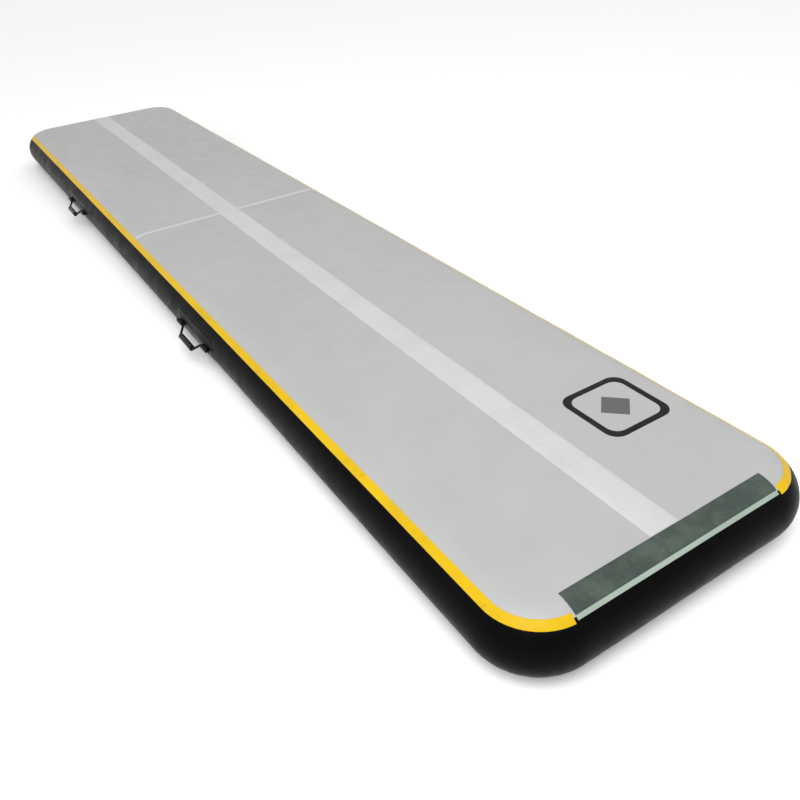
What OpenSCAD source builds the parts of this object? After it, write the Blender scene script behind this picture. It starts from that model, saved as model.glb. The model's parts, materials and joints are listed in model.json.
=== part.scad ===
// Inflatable air track mat: two flat skins tied together by drop-stitch threads,
// a bulging side wall, seam tapes, markings, carry handles and an air valve.
// Millimetres, +Z up, +Y towards the valve end. The origin is on the floor under the middle of the mat.

/* [Mat] */
// Overall length of the inflated mat
mat_length = 5000; // [3000:100:8000]
// Overall width of the inflated mat
mat_width = 1000; // [900:50:2000]
// Inflated thickness
mat_thickness = 200; // [160:5:240]
// Plan radius of the outline at a corner
corner_radius = 180; // [150:5:300]

/* [Fabric layers] */
// Thickness of the top and bottom skins
skin_t = 1.0; // [0.7:0.1:2]
// Thickness of the outer side wall
outer_wall_t = 0.9; // [0.5:0.1:2]
// Thickness of the inner side wall
inner_wall_t = 0.9; // [0.5:0.1:2]
// Thickness of one glue line between layers
glue_line = 0.1; // [0.05:0.05:0.3]
// Gap between the edges of a skin and the outer wall, under the seam tape
seam_gap = 0.5; // [0.2:0.1:2]
// Height of the seam on the rounded edge, in degrees above its middle
seam_angle = 55; // [50:1:60]
// Distance between neighbouring threads across the mat
thread_pitch_across = 100; // [80:10:200]
// Distance between neighbouring threads along the mat
thread_pitch_along = 200; // [100:10:400]
// Radius of one bundle of threads
thread_r = 1.5; // [0.5:0.1:3]

/* [Seam tapes and markings] */
// Width of the seam tapes round the edge
seam_tape_w = 25; // [15:1:30]
// Thickness of the tapes
tape_t = 0.6; // [0.3:0.1:1.5]
// Width of the tapes over the joints between the side wall and its rear panel
wall_joint_w = 50; // [30:5:50]
// Thickness of the welded marking film
film_t = 0.6; // [0.2:0.1:1]
// Width of the stripe along the middle
stripe_w = 92; // [40:1:150]
// Width of the line across the mat
cross_line_w = 24; // [10:1:60]
// Distance of the cross line from the middle of the mat
cross_line_y = 200; // [-1000:10:1000]
// Outer size of the square mark
mark_size = 230; // [120:5:260]
// Width of the square mark's border
mark_border = 20; // [8:1:40]
// Plan radius of the square mark's corners
mark_corner_r = 42; // [20:1:60]
// Side of the diamond inside the mark
mark_diamond_side = 78; // [30:1:100]
// Distance of the mark from the front end
mark_from_front = 515; // [350:5:900]
// Distance of the mark from the centre line
mark_across = 262; // [200:1:400]

/* [Connector strip] */
// Length of the loop tape that joins a second mat
connector_l = 650; // [300:10:700]
// Width of the loop tape, measured over the curve
connector_w = 57; // [30:1:70]
// Thickness of the loop tape
connector_t = 1.6; // [0.8:0.1:3]
// Border of the backing strip beyond the loop tape
connector_border = 12; // [8:1:30]

/* [Handles] */
// Middle of the front pair of handles
front_handle_y = -630; // [-900:10:-300]
// Middle of the rear pair of handles
rear_handle_y = 1100; // [600:10:1200]
// Droop of a resting handle below the horizontal, in degrees
handle_droop = 40; // [0:1:60]
// Radius of the handle cord
cord_r = 4.5; // [3:0.5:6]
// Radius of the grip
grip_r = 11; // [8:0.5:14]
// Length of the grip
grip_l = 115; // [100:5:200]
// Distance from the handle's pivot line to the middle of the grip
handle_reach = 34; // [34:1:60]
// Angle of the handle's legs to the pivot line
leg_angle = 50; // [40:1:70]
// Centreline radius of the cord's bends
bend_r = 16; // [12:1:18]
// Radial clearance of the cord in its tunnels
cord_clearance = 0.1; // [0.02:0.01:0.1]
// Length of one tunnel
tunnel_l = 36; // [20:1:60]
// Wall of a tunnel round the cord
tunnel_wall = 3.5; // [2:0.5:6]
// End play of the cord between its ferrules
end_play = 2; // [0.5:0.5:5]
// Radius of an end ferrule
ferrule_r = 7.5; // [6:0.5:10]
// Length of an end ferrule
ferrule_l = 9; // [5:1:15]
// Patch beyond the ferrules at each end
patch_margin = 26; // [10:1:50]
// Width of a handle patch, measured over the curve
patch_w = 84; // [60:1:120]
// Thickness of a handle patch
patch_t = 1.0; // [0.5:0.1:2]

/* [Valve] */
// Distance of the valve from the centre line
valve_x = 150; // [-170:10:170]
// Depth of the valve seat below the outermost line of the end wall
valve_seat_depth = 12; // [12:0.5:16]
// Outer radius of the valve boot
boot_r = 38; // [36:1:42]
// Wall of the valve boot
boot_t = 1.5; // [1:0.1:3]
// Radius of the port that takes the pump nozzle
port_r = 13; // [11:0.5:14]
// Length of the port
port_l = 12; // [8:1:16]
// Outer radius of the valve barrel
barrel_r = 16; // [16:0.5:18]
// Radius of the valve flange
flange_r = 30; // [28:0.5:32]
// Thickness of the valve flange
flange_t = 3; // [2:0.5:4]
// Radius of the cap
cap_r = 20; // [18:0.5:21]
// Thickness of the cap
cap_t = 3; // [2:0.5:4]
// Radius of the cap's hinge pin
hinge_pin_r = 1.5; // [1:0.1:2]
// Clearance round the hinge pin
hinge_clearance = 0.06; // [0.02:0.01:0.1]
// Travel of the valve stem when it is pressed
stem_travel = 8; // [4:1:9]
// Radius of the valve stem
stem_r = 2.5; // [1.5:0.1:3]
// Clearance of the stem in its guide
stem_clearance = 0.08; // [0.02:0.01:0.1]
// Radius of the stem's button
button_r = 6; // [5:0.5:7]
// Wire radius of the valve spring
spring_wire_r = 0.5; // [0.3:0.1:0.6]
// Turns of the valve spring
spring_turns = 5; // [3:1:7]

/* [Hidden] */
$fn = 96;
eps = 1;
edge_r = mat_thickness / 2;
half_l = mat_length / 2;
half_w = mat_width / 2;
plan_inner_r = corner_radius - edge_r;
flat_l = mat_length - 2 * edge_r;
flat_w = mat_width - 2 * edge_r;
seam_gap_angle = arc_angle(seam_gap, edge_r);
seam_tape_angle = arc_angle(seam_tape_w, edge_r);
inner_wall_angle = 85;
inner_wall_r = edge_r - max(skin_t, outer_wall_t) - glue_line;
layer_r = edge_r + glue_line;
film_gap = 2;
tape_low = seam_angle - seam_tape_angle / 2;
tape_high = seam_angle + seam_tape_angle / 2;
film_low = tape_high + arc_angle(film_gap, edge_r);
wall_joint_margin = 5;
wall_joint_x = half_w - corner_radius - wall_joint_w / 2 - wall_joint_margin;

mark_y = -half_l + mark_from_front;

backing_r = layer_r + tape_t;
connector_high = 90;
connector_low = connector_high - arc_angle(connector_w, edge_r);
backing_low = connector_low - arc_angle(connector_border, edge_r);

handle_sides = [-1, 1];
patch_r = layer_r + patch_t;
tunnel_pad_r = patch_r + glue_line;
tunnel_r = cord_r + cord_clearance + tunnel_wall;
tunnel_pad_t = 1.5;
tunnel_pad_angle = 11;
pivot_out = tunnel_pad_r - edge_r + tunnel_r + 0.4;
leg_l = (handle_reach - 2 * bend_r * (1 - cos(leg_angle))) / sin(leg_angle);
grip_half = grip_l / 2;
bend_along = bend_r * sin(leg_angle);
arch_half = grip_half + 2 * bend_along + leg_l * cos(leg_angle);
tunnel_near = arch_half + end_play;
tunnel_far = tunnel_near + tunnel_l;
ferrule_near = tunnel_far + end_play;
cord_end = ferrule_near + ferrule_l;
patch_half = cord_end + patch_margin;
patch_half_angle = arc_angle(patch_w, edge_r) / 2;

seat = -valve_seat_depth;
flange_top = seat + flange_t;
port_end = flange_top - port_l;
chamber_r = port_r - 1;
button_t = 2;
button_top = port_end - 1;
button_low = button_top - button_t;
spring_l = stem_travel + 2.5 * spring_turns * spring_wire_r;
guide_top = button_low - spring_l;
guide_t = 2;
guide_low = guide_top - guide_t;
guide_hub_r = stem_r + 2;
air_hole_r = (chamber_r - guide_hub_r) / 2 - 0.4;
air_hole_at = (chamber_r + guide_hub_r) / 2;
seat_ring_top = guide_low - stem_travel;
seat_ring_t = 4;
barrel_low = seat_ring_top - seat_ring_t;
air_seat_r = port_r - 3;
diaphragm_r = port_r;
diaphragm_t = 2;
clip_t = 2;
clip_r = 6;
stem_low = barrel_low - diaphragm_t - clip_t;
barrel_fit = 0.1;
nut_r = flange_r - 2;
gasket_t = 1.5;
nut_t = 6;
nut_top = seat - boot_t - gasket_t;
nut_notch_r = 4;
nut_notches = 8;
seal_t = 1;
seal_inner_r = port_r + 1;
cap_low = flange_top + seal_t;
cap_high = cap_low + cap_t;
cap_grip_r = 3;
cap_grips = 12;
hinge_at = cap_r + 7;
hinge_z = flange_top + 3.5;
knuckle_r = hinge_pin_r + 1.5;
knuckle_w = 13;
ear_w = 4;
ear_gap = 0.5;
ear_in = knuckle_w / 2 + ear_gap;
pin_half = ear_in + ear_w;

/* Helpers */

// Angle in degrees that an arc of this length covers on a circle of radius r
function arc_angle(length, r) = length / r * 180 / PI;

// A point at angle a on a circle of radius r
function polar(r, a) = [r * cos(a), r * sin(a)];

// Ring sector from angle low to angle high, less than 180 degrees wide
module ring_sector(r_in, r_out, low, high) {
    far = 2.2 * r_out;
    third = (high - low) / 3;
    intersection() {
        difference() {
            circle(r_out);
            circle(r_in);
        }
        polygon([[0, 0], polar(far, low), polar(far, low + third), polar(far, high - third), polar(far, high)]);
    }
}

// Rectangle with round corners, centred
module rounded_rect(w, l, r) {
    square([w - 2 * r, l], center = true);
    square([w, l - 2 * r], center = true);
    for (sx = [-1, 1], sy = [-1, 1])
        translate([sx * (w / 2 - r), sy * (l / 2 - r)])
            circle(r);
}

// A profile drawn in X and Y, stood up in X and Z and run along Y, centred
module run_along_y(length) {
    rotate([90, 0, 0])
        linear_extrude(height = length, center = true)
            children();
}

// A profile of the rounded edge, taken once round the whole mat
module all_round() {
    for (turn = [0, 180])
        rotate([0, 0, turn])
            translate([half_w - edge_r, 0, edge_r])
                run_along_y(mat_length - 2 * corner_radius)
                    children();
    for (turn = [90, 270])
        rotate([0, 0, turn])
            translate([half_l - edge_r, 0, edge_r])
                run_along_y(mat_width - 2 * corner_radius)
                    children();
    for (corner = [[1, 1, 0], [-1, 1, 90], [-1, -1, 180], [1, -1, 270]])
        translate([corner[0] * (half_w - corner_radius), corner[1] * (half_l - corner_radius), edge_r])
            rotate([0, 0, corner[2]])
                rotate_extrude(angle = 90)
                    translate([plan_inner_r, 0])
                        children();
}

// One end of the mat: a profile of the rounded edge run straight across it
module end_run(end, length) {
    rotate([0, 0, end * 90])
        translate([half_l - edge_r, 0, edge_r])
            run_along_y(length)
                children();
}

// One side of the mat: a profile of the rounded edge run straight along it
module side_run(side, length) {
    rotate([0, 0, side > 0 ? 0 : 180])
        translate([half_w - edge_r, 0, edge_r])
            run_along_y(length)
                children();
}

// Local frame of the valve: Z points out of the end wall, and 0 is its outermost line
module at_valve() {
    translate([valve_x, half_l, edge_r])
        rotate([-90, 0, 0])
            children();
}

// Tube between two heights along local Z
module tube(r_out, r_in, low, high) {
    translate([0, 0, low])
        difference() {
            cylinder(r = r_out, h = high - low);
            translate([0, 0, -eps])
                cylinder(r = r_in, h = high - low + 2 * eps);
        }
}

/* Fabric body */

module skin() {
    translate([0, 0, mat_thickness - skin_t])
        linear_extrude(height = skin_t)
            rounded_rect(flat_w, flat_l, plan_inner_r);
    all_round()
        ring_sector(edge_r - skin_t, edge_r, seam_angle + seam_gap_angle / 2, 90);
}

module top_skin() {
    color([0.78, 0.79, 0.78])
        skin();
}

module bottom_skin() {
    color([0.60, 0.61, 0.61])
        translate([0, 0, mat_thickness])
            mirror([0, 0, 1])
                skin();
}

module drop_stitch_threads() {
    across = floor((flat_w / 2 - thread_pitch_across) / thread_pitch_across);
    along = floor((flat_l / 2 - thread_pitch_along) / thread_pitch_along);
    color([0.92, 0.92, 0.90])
        for (i = [-across:across], j = [-along:along])
            translate([i * thread_pitch_across, j * thread_pitch_along, skin_t])
                cylinder(r = thread_r, h = mat_thickness - 2 * skin_t, $fn = 24);
}

module valve_wall_hole() {
    at_valve()
        translate([0, 0, -edge_r / 2])
            cylinder(r = boot_r + glue_line, h = edge_r);
}

module inner_side_wall() {
    color([0.25, 0.25, 0.26])
        difference() {
            all_round()
                ring_sector(inner_wall_r - inner_wall_t, inner_wall_r, -inner_wall_angle, inner_wall_angle);
            valve_wall_hole();
        }
}

// Cross-section of the outer side wall, up to its seams with the skins
module outer_wall_profile() {
    edge = seam_angle - seam_gap_angle / 2;
    ring_sector(edge_r - outer_wall_t, edge_r, -edge, edge);
}

// The outer wall is one long strip, which the rear panel closes into a ring
module outer_side_wall() {
    color([0.04, 0.04, 0.045])
        difference() {
            all_round()
                outer_wall_profile();
            translate([-wall_joint_x, half_l - edge_r, 0])
                cube([2 * wall_joint_x, edge_r + eps, mat_thickness]);
        }
}

// The panel that the valve is welded into, between the two ends of the outer wall
module rear_wall_panel() {
    color([0.04, 0.04, 0.045])
        difference() {
            end_run(1, 2 * (wall_joint_x - seam_gap))
                outer_wall_profile();
            valve_wall_hole();
        }
}

/* Seam tapes and markings */

module top_seam_tape() {
    window_l = connector_l + 2 * film_gap;
    color([0.92, 0.72, 0.06])
        difference() {
            all_round()
                ring_sector(layer_r, layer_r + tape_t, tape_low, tape_high);
            translate([-window_l / 2, -half_l - eps, edge_r])
                cube([window_l, edge_r + eps, edge_r + 10 * tape_t]);
        }
}

module bottom_seam_tape() {
    color([0.05, 0.05, 0.055])
        all_round()
            ring_sector(layer_r, layer_r + tape_t, -tape_high, -tape_low);
}

module wall_joint_tapes() {
    reach = tape_low - arc_angle(film_gap, edge_r);
    color([0.05, 0.05, 0.055])
        for (side = [-1, 1])
            translate([side * wall_joint_x, 0, 0])
                end_run(1, wall_joint_w)
                    ring_sector(layer_r, layer_r + tape_t, -reach, reach);
}

module centre_stripe() {
    front = -half_l + edge_r + film_gap;
    rear = half_l - edge_r;
    color([0.88, 0.88, 0.87]) {
        translate([-stripe_w / 2, front, mat_thickness + glue_line])
            cube([stripe_w, rear - front, film_t]);
        end_run(1, stripe_w)
            ring_sector(layer_r, layer_r + film_t, film_low, 90);
    }
}

module cross_line() {
    gap = stripe_w / 2 + film_gap / 4;
    color([0.88, 0.88, 0.87])
        translate([0, cross_line_y, 0])
            for (side = [-1, 1]) {
                translate([side > 0 ? gap : -flat_w / 2, -cross_line_w / 2, mat_thickness + glue_line])
                    cube([flat_w / 2 - gap, cross_line_w, film_t]);
                side_run(side, cross_line_w)
                    ring_sector(layer_r, layer_r + film_t, film_low, 90);
            }
}

module at_mark() {
    translate([mark_across, mark_y, mat_thickness + glue_line])
        linear_extrude(height = film_t)
            children();
}

module mark_border_square() {
    inner = mark_size - 2 * mark_border;
    color([0.10, 0.10, 0.11])
        at_mark()
            difference() {
                rounded_rect(mark_size, mark_size, mark_corner_r);
                rounded_rect(inner, inner, mark_corner_r * inner / mark_size);
            }
}

module mark_diamond() {
    color([0.42, 0.43, 0.43])
        at_mark()
            rotate([0, 0, 45])
                square(mark_diamond_side, center = true);
}

/* Connector strip at the front end */

module connector_backing() {
    color([0.66, 0.70, 0.66])
        end_run(-1, connector_l)
            ring_sector(layer_r, layer_r + tape_t, backing_low, connector_high);
}

module connector_loop_tape() {
    color([0.33, 0.38, 0.35])
        end_run(-1, connector_l)
            ring_sector(backing_r, backing_r + connector_t, connector_low, connector_high);
}

/* Handles. Local frame: X points out of the side wall, Y along the mat, the origin is on the pivot line. */

module at_handle(side, y) {
    translate([side * (half_w + pivot_out), y, edge_r])
        rotate([0, 0, side > 0 ? 0 : 180])
            children();
}

module drooping() {
    rotate([0, handle_droop, 0])
        children();
}

module cord_run(length) {
    rotate([-90, 0, 0])
        cylinder(r = cord_r, h = length, $fn = 48);
}

module cord_bend() {
    rotate_extrude(angle = leg_angle, $fn = 96)
        translate([bend_r, 0])
            circle(cord_r, $fn = 48);
}

// Half of the cord, from the middle of the grip to the end at positive Y, with a ball in each joint
module cord_half() {
    grip_end = [handle_reach, grip_half, 0];
    leg_start = [handle_reach - bend_r * (1 - cos(leg_angle)), grip_half + bend_along, 0];
    leg_end = [bend_r * (1 - cos(leg_angle)), arch_half - bend_along, 0];
    arch_end = [0, arch_half, 0];
    translate([handle_reach, 0, 0])
        cord_run(grip_half);
    translate([handle_reach - bend_r, grip_half, 0])
        cord_bend();
    translate(leg_start)
        rotate([0, 0, leg_angle])
            cord_run(leg_l);
    translate([bend_r, arch_half, 0])
        rotate([0, 0, 180])
            cord_bend();
    translate(arch_end)
        cord_run(cord_end - arch_half);
    for (joint = [grip_end, leg_start, leg_end, arch_end])
        translate(joint)
            sphere(cord_r, $fn = 48);
}

module handle_cord(side, y) {
    color([0.05, 0.05, 0.05])
        at_handle(side, y)
            drooping() {
                cord_half();
                mirror([0, 1, 0])
                    cord_half();
            }
}

module handle_grip(side, y) {
    bore = cord_r + glue_line;
    grip_end_r = 0.45 * (grip_r - bore);
    color([0.03, 0.03, 0.03])
        at_handle(side, y)
            drooping()
                translate([handle_reach, 0, 0])
                    rotate([90, 0, 0])
                        rotate_extrude() {
                            translate([bore, -grip_half])
                                square([grip_r - grip_end_r - bore, grip_l]);
                            translate([bore, -grip_half + grip_end_r])
                                square([grip_r - bore, grip_l - 2 * grip_end_r]);
                            for (end = [-1, 1])
                                translate([grip_r - grip_end_r, end * (grip_half - grip_end_r)])
                                    circle(grip_end_r, $fn = 48);
                        }
}

module handle_ferrules(side, y) {
    bore = cord_r + glue_line;
    color([0.10, 0.10, 0.10])
        at_handle(side, y)
            for (end = [-1, 1])
                rotate([-90 * end, 0, 0])
                    tube(ferrule_r, bore, ferrule_near, cord_end);
}

module handle_patch(side, y) {
    color([0.06, 0.06, 0.065])
        translate([0, y, 0])
            side_run(side, 2 * patch_half)
                ring_sector(layer_r, patch_r, -patch_half_angle, patch_half_angle);
}

// A curved pad on the patch, with a tube for the cord on a web
module tunnel(low, high) {
    web_in = pivot_out - (tunnel_pad_r - edge_r);
    translate([0, (low + high) / 2, 0])
        run_along_y(high - low)
            difference() {
                union() {
                    translate([-edge_r - pivot_out, 0])
                        ring_sector(tunnel_pad_r, tunnel_pad_r + tunnel_pad_t, -tunnel_pad_angle, tunnel_pad_angle);
                    translate([-web_in + tunnel_pad_t / 2, -tunnel_r * 0.8])
                        square([web_in - tunnel_pad_t / 2, tunnel_r * 1.6]);
                    circle(tunnel_r);
                }
                circle(cord_r + cord_clearance, $fn = 48);
            }
}

module handle_tunnels(side, y) {
    color([0.07, 0.07, 0.075])
        at_handle(side, y) {
            tunnel(tunnel_near, tunnel_far);
            tunnel(-tunnel_far, -tunnel_near);
        }
}

/* Valve in the rear end wall */

module valve_boot() {
    color([0.08, 0.08, 0.085])
        intersection() {
            at_valve()
                difference() {
                    translate([0, 0, seat - boot_t])
                        cylinder(r = boot_r, h = valve_seat_depth + boot_t + eps);
                    translate([0, 0, seat])
                        cylinder(r = boot_r - boot_t, h = valve_seat_depth + 2 * eps);
                    translate([0, 0, seat - boot_t - eps])
                        cylinder(r = barrel_r + barrel_fit, h = boot_t + 2 * eps);
                }
            translate([valve_x, half_l - edge_r, edge_r])
                rotate([0, 90, 0])
                    cylinder(r = edge_r, h = 3 * boot_r, center = true);
        }
}

module valve_ears() {
    for (side = [-1, 1])
        translate([side * (ear_in + ear_w / 2), -hinge_at, 0])
            difference() {
                union() {
                    translate([-ear_w / 2, -knuckle_r, flange_top - flange_t / 2])
                        cube([ear_w, 2 * knuckle_r, hinge_z - flange_top + flange_t / 2]);
                    translate([0, 0, hinge_z])
                        rotate([0, 90, 0])
                            cylinder(r = knuckle_r, h = ear_w, center = true);
                }
                translate([0, 0, hinge_z])
                    rotate([0, 90, 0])
                        cylinder(r = hinge_pin_r, h = ear_w + 2 * eps, center = true);
            }
}

module valve_body() {
    color([0.12, 0.12, 0.13])
        at_valve()
            difference() {
                union() {
                    translate([0, 0, seat])
                        cylinder(r = flange_r, h = flange_t);
                    translate([0, 0, port_end])
                        cylinder(r = barrel_r, h = seat - port_end + eps);
                    valve_ears();
                }
                translate([0, 0, port_end - eps])
                    cylinder(r = port_r, h = port_l + 2 * eps);
            }
}

module valve_chamber() {
    color([0.12, 0.12, 0.13])
        at_valve()
            difference() {
                translate([0, 0, barrel_low])
                    cylinder(r = barrel_r, h = port_end - barrel_low);
                translate([0, 0, guide_top])
                    cylinder(r = chamber_r, h = port_end - guide_top + eps);
                translate([0, 0, seat_ring_top])
                    cylinder(r = chamber_r, h = guide_low - seat_ring_top);
                translate([0, 0, barrel_low - eps])
                    cylinder(r = air_seat_r, h = seat_ring_t + 2 * eps);
                translate([0, 0, guide_low - eps])
                    cylinder(r = stem_r + stem_clearance, h = guide_t + 2 * eps);
                for (turn = [45:90:315])
                    rotate([0, 0, turn])
                        translate([air_hole_at, 0, guide_low - eps])
                            cylinder(r = air_hole_r, h = guide_t + 2 * eps);
            }
}

module valve_gasket() {
    color([0.20, 0.20, 0.20])
        at_valve()
            tube(nut_r, barrel_r + barrel_fit, nut_top, nut_top + gasket_t);
}

module valve_nut() {
    color([0.14, 0.14, 0.15])
        at_valve()
            difference() {
                tube(nut_r, barrel_r + barrel_fit, nut_top - nut_t, nut_top);
                for (i = [0:nut_notches - 1])
                    rotate([0, 0, i * 360 / nut_notches])
                        translate([nut_r + nut_notch_r / 3, 0, nut_top - nut_t - eps])
                            cylinder(r = nut_notch_r, h = nut_t + 2 * eps, $fn = 48);
            }
}

module valve_stem() {
    color([0.75, 0.75, 0.73])
        at_valve() {
            translate([0, 0, stem_low])
                cylinder(r = stem_r, h = button_top - stem_low);
            translate([0, 0, button_low])
                cylinder(r = button_r, h = button_t);
        }
}

module valve_diaphragm() {
    color([0.15, 0.15, 0.15])
        at_valve()
            tube(diaphragm_r, stem_r, barrel_low - diaphragm_t, barrel_low);
}

module valve_stem_clip() {
    color([0.70, 0.71, 0.72])
        at_valve()
            tube(clip_r, stem_r, stem_low, stem_low + clip_t);
}

// Points of one ring of the spring's wire, at a share of the way up the coil
function spring_ring(share, sides) =
    let (turn = share * 360 * spring_turns)
    let (mean_r = stem_r + 3 * spring_wire_r)
    let (lift = spring_wire_r + share * (spring_l - 2 * spring_wire_r))
    [for (k = [0:sides - 1])
        let (a = k * 360 / sides)
        [(mean_r + spring_wire_r * cos(a)) * cos(turn),
         (mean_r + spring_wire_r * cos(a)) * sin(turn),
         lift + spring_wire_r * sin(a)]];

module valve_spring() {
    sides = 6;
    rings = spring_turns * 12;
    points = [for (i = [0:rings]) each spring_ring(i / rings, sides)];
    walls = [for (i = [0:rings - 1], k = [0:sides - 1])
        let (n = (k + 1) % sides)
        [i * sides + k, (i + 1) * sides + k, (i + 1) * sides + n, i * sides + n]];
    first_cap = [for (k = [0:sides - 1]) k];
    last_cap = [for (k = [sides - 1:-1:0]) rings * sides + k];
    color([0.70, 0.71, 0.72])
        at_valve()
            translate([0, 0, guide_top])
                polyhedron(points, concat([first_cap, last_cap], walls));
}

module valve_cap() {
    arm_w = knuckle_w - 1;
    color([0.10, 0.10, 0.105])
        at_valve()
            difference() {
                union() {
                    translate([0, 0, cap_low])
                        cylinder(r = cap_r, h = cap_t);
                    translate([-arm_w / 2, -hinge_at, cap_low])
                        cube([arm_w, hinge_at - cap_r / 2, cap_t]);
                    translate([0, -hinge_at, hinge_z])
                        rotate([0, 90, 0])
                            cylinder(r = knuckle_r, h = knuckle_w, center = true);
                }
                translate([0, -hinge_at, hinge_z])
                    rotate([0, 90, 0])
                        cylinder(r = hinge_pin_r + hinge_clearance, h = knuckle_w + 2 * eps, center = true);
                for (i = [0:cap_grips - 1])
                    if (i != 9)
                        rotate([0, 0, i * 360 / cap_grips])
                            translate([cap_r + cap_grip_r * 0.6, 0, cap_low - eps])
                                cylinder(r = cap_grip_r, h = cap_t + 2 * eps, $fn = 48);
            }
}

module valve_cap_seal() {
    color([0.18, 0.18, 0.18])
        at_valve()
            tube(cap_r - cap_grip_r, seal_inner_r, flange_top, cap_low);
}

module valve_cap_hinge_pin() {
    color([0.70, 0.71, 0.72])
        at_valve()
            translate([0, -hinge_at, hinge_z])
                rotate([0, 90, 0])
                    cylinder(r = hinge_pin_r, h = 2 * pin_half, center = true);
}

top_skin();
bottom_skin();
drop_stitch_threads();
inner_side_wall();
outer_side_wall();
rear_wall_panel();
top_seam_tape();
bottom_seam_tape();
wall_joint_tapes();
centre_stripe();
cross_line();
mark_border_square();
mark_diamond();
connector_backing();
connector_loop_tape();
handle_patch(-1, front_handle_y);  // handle_patch_front_left
handle_patch(1, front_handle_y);  // handle_patch_front_right
handle_patch(-1, rear_handle_y);  // handle_patch_rear_left
handle_patch(1, rear_handle_y);  // handle_patch_rear_right
handle_tunnels(-1, front_handle_y);  // handle_tunnels_front_left
handle_tunnels(1, front_handle_y);  // handle_tunnels_front_right
handle_tunnels(-1, rear_handle_y);  // handle_tunnels_rear_left
handle_tunnels(1, rear_handle_y);  // handle_tunnels_rear_right
handle_cord(-1, front_handle_y);  // handle_cord_front_left
handle_cord(1, front_handle_y);  // handle_cord_front_right
handle_cord(-1, rear_handle_y);  // handle_cord_rear_left
handle_cord(1, rear_handle_y);  // handle_cord_rear_right
handle_grip(-1, front_handle_y);  // handle_grip_front_left
handle_grip(1, front_handle_y);  // handle_grip_front_right
handle_grip(-1, rear_handle_y);  // handle_grip_rear_left
handle_grip(1, rear_handle_y);  // handle_grip_rear_right
handle_ferrules(-1, front_handle_y);  // handle_ferrules_front_left
handle_ferrules(1, front_handle_y);  // handle_ferrules_front_right
handle_ferrules(-1, rear_handle_y);  // handle_ferrules_rear_left
handle_ferrules(1, rear_handle_y);  // handle_ferrules_rear_right
valve_boot();
valve_body();
valve_chamber();
valve_gasket();
valve_nut();
valve_spring();
valve_stem();
valve_diaphragm();
valve_stem_clip();
valve_cap();
valve_cap_seal();
valve_cap_hinge_pin();
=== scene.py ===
"""Looks of an inflatable air track mat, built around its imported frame.

Everything is in metres, in the frame's own axes: +Z up, +Y from the connector strip's end to the
valve's end.
"""

import json
import logging
import math
from dataclasses import dataclass, field
from enum import Enum
from typing import Any, Optional, Sequence

import bmesh
import bpy
import numpy as np
from mathutils import Matrix, Vector
from mathutils.geometry import tessellate_polygon

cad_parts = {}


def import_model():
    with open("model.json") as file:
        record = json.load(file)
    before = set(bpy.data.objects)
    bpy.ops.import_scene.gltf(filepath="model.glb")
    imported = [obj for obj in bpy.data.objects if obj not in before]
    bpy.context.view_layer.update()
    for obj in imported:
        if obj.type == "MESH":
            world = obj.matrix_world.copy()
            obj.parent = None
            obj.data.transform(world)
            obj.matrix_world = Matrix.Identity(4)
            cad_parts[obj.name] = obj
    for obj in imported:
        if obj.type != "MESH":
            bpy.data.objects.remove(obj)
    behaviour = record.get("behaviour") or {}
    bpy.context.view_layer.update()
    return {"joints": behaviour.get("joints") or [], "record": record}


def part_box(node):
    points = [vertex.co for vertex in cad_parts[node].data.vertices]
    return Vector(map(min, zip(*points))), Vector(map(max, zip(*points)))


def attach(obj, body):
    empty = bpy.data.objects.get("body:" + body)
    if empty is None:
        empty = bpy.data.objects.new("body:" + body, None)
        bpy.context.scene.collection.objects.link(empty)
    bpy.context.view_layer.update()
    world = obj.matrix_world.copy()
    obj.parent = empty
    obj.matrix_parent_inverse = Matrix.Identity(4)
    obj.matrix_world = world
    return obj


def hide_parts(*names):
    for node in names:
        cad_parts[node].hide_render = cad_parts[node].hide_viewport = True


LOG = logging.getLogger("air_track")
MM = 0.001
SHARP_EDGE = math.radians(40)

Colour = tuple[float, float, float]
Socket = bpy.types.NodeSocket


# ---------------------------------------------------------------- node trees


class Nodes:
    """Adds nodes to a tree and links them by socket name or number."""

    def __init__(self, tree: bpy.types.NodeTree) -> None:
        """Keeps the tree that nodes are added to."""
        self.tree = tree

    def add(self, kind: str, inputs: Optional[dict[Any, Any]] = None, **settings: Any) -> bpy.types.Node:
        """Adds one node.

        Args:
            kind: Blender's type name of the node.
            inputs: sockets by name or number, each with a value or with the socket to link from.
            settings: properties of the node itself.

        Returns:
            The new node.
        """
        node = self.tree.nodes.new(kind)
        for key, value in settings.items():
            setattr(node, key, value)
        for key, value in (inputs or {}).items():
            if isinstance(value, Socket):
                self.tree.links.new(value, node.inputs[key])
            else:
                node.inputs[key].default_value = value
        return node

    def math(self, operation: str, a: Any, b: Any = 0.0) -> Socket:
        """Returns the result of one sum on two values or sockets."""
        return self.add("ShaderNodeMath", {0: a, 1: b}, operation=operation).outputs[0]


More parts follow.
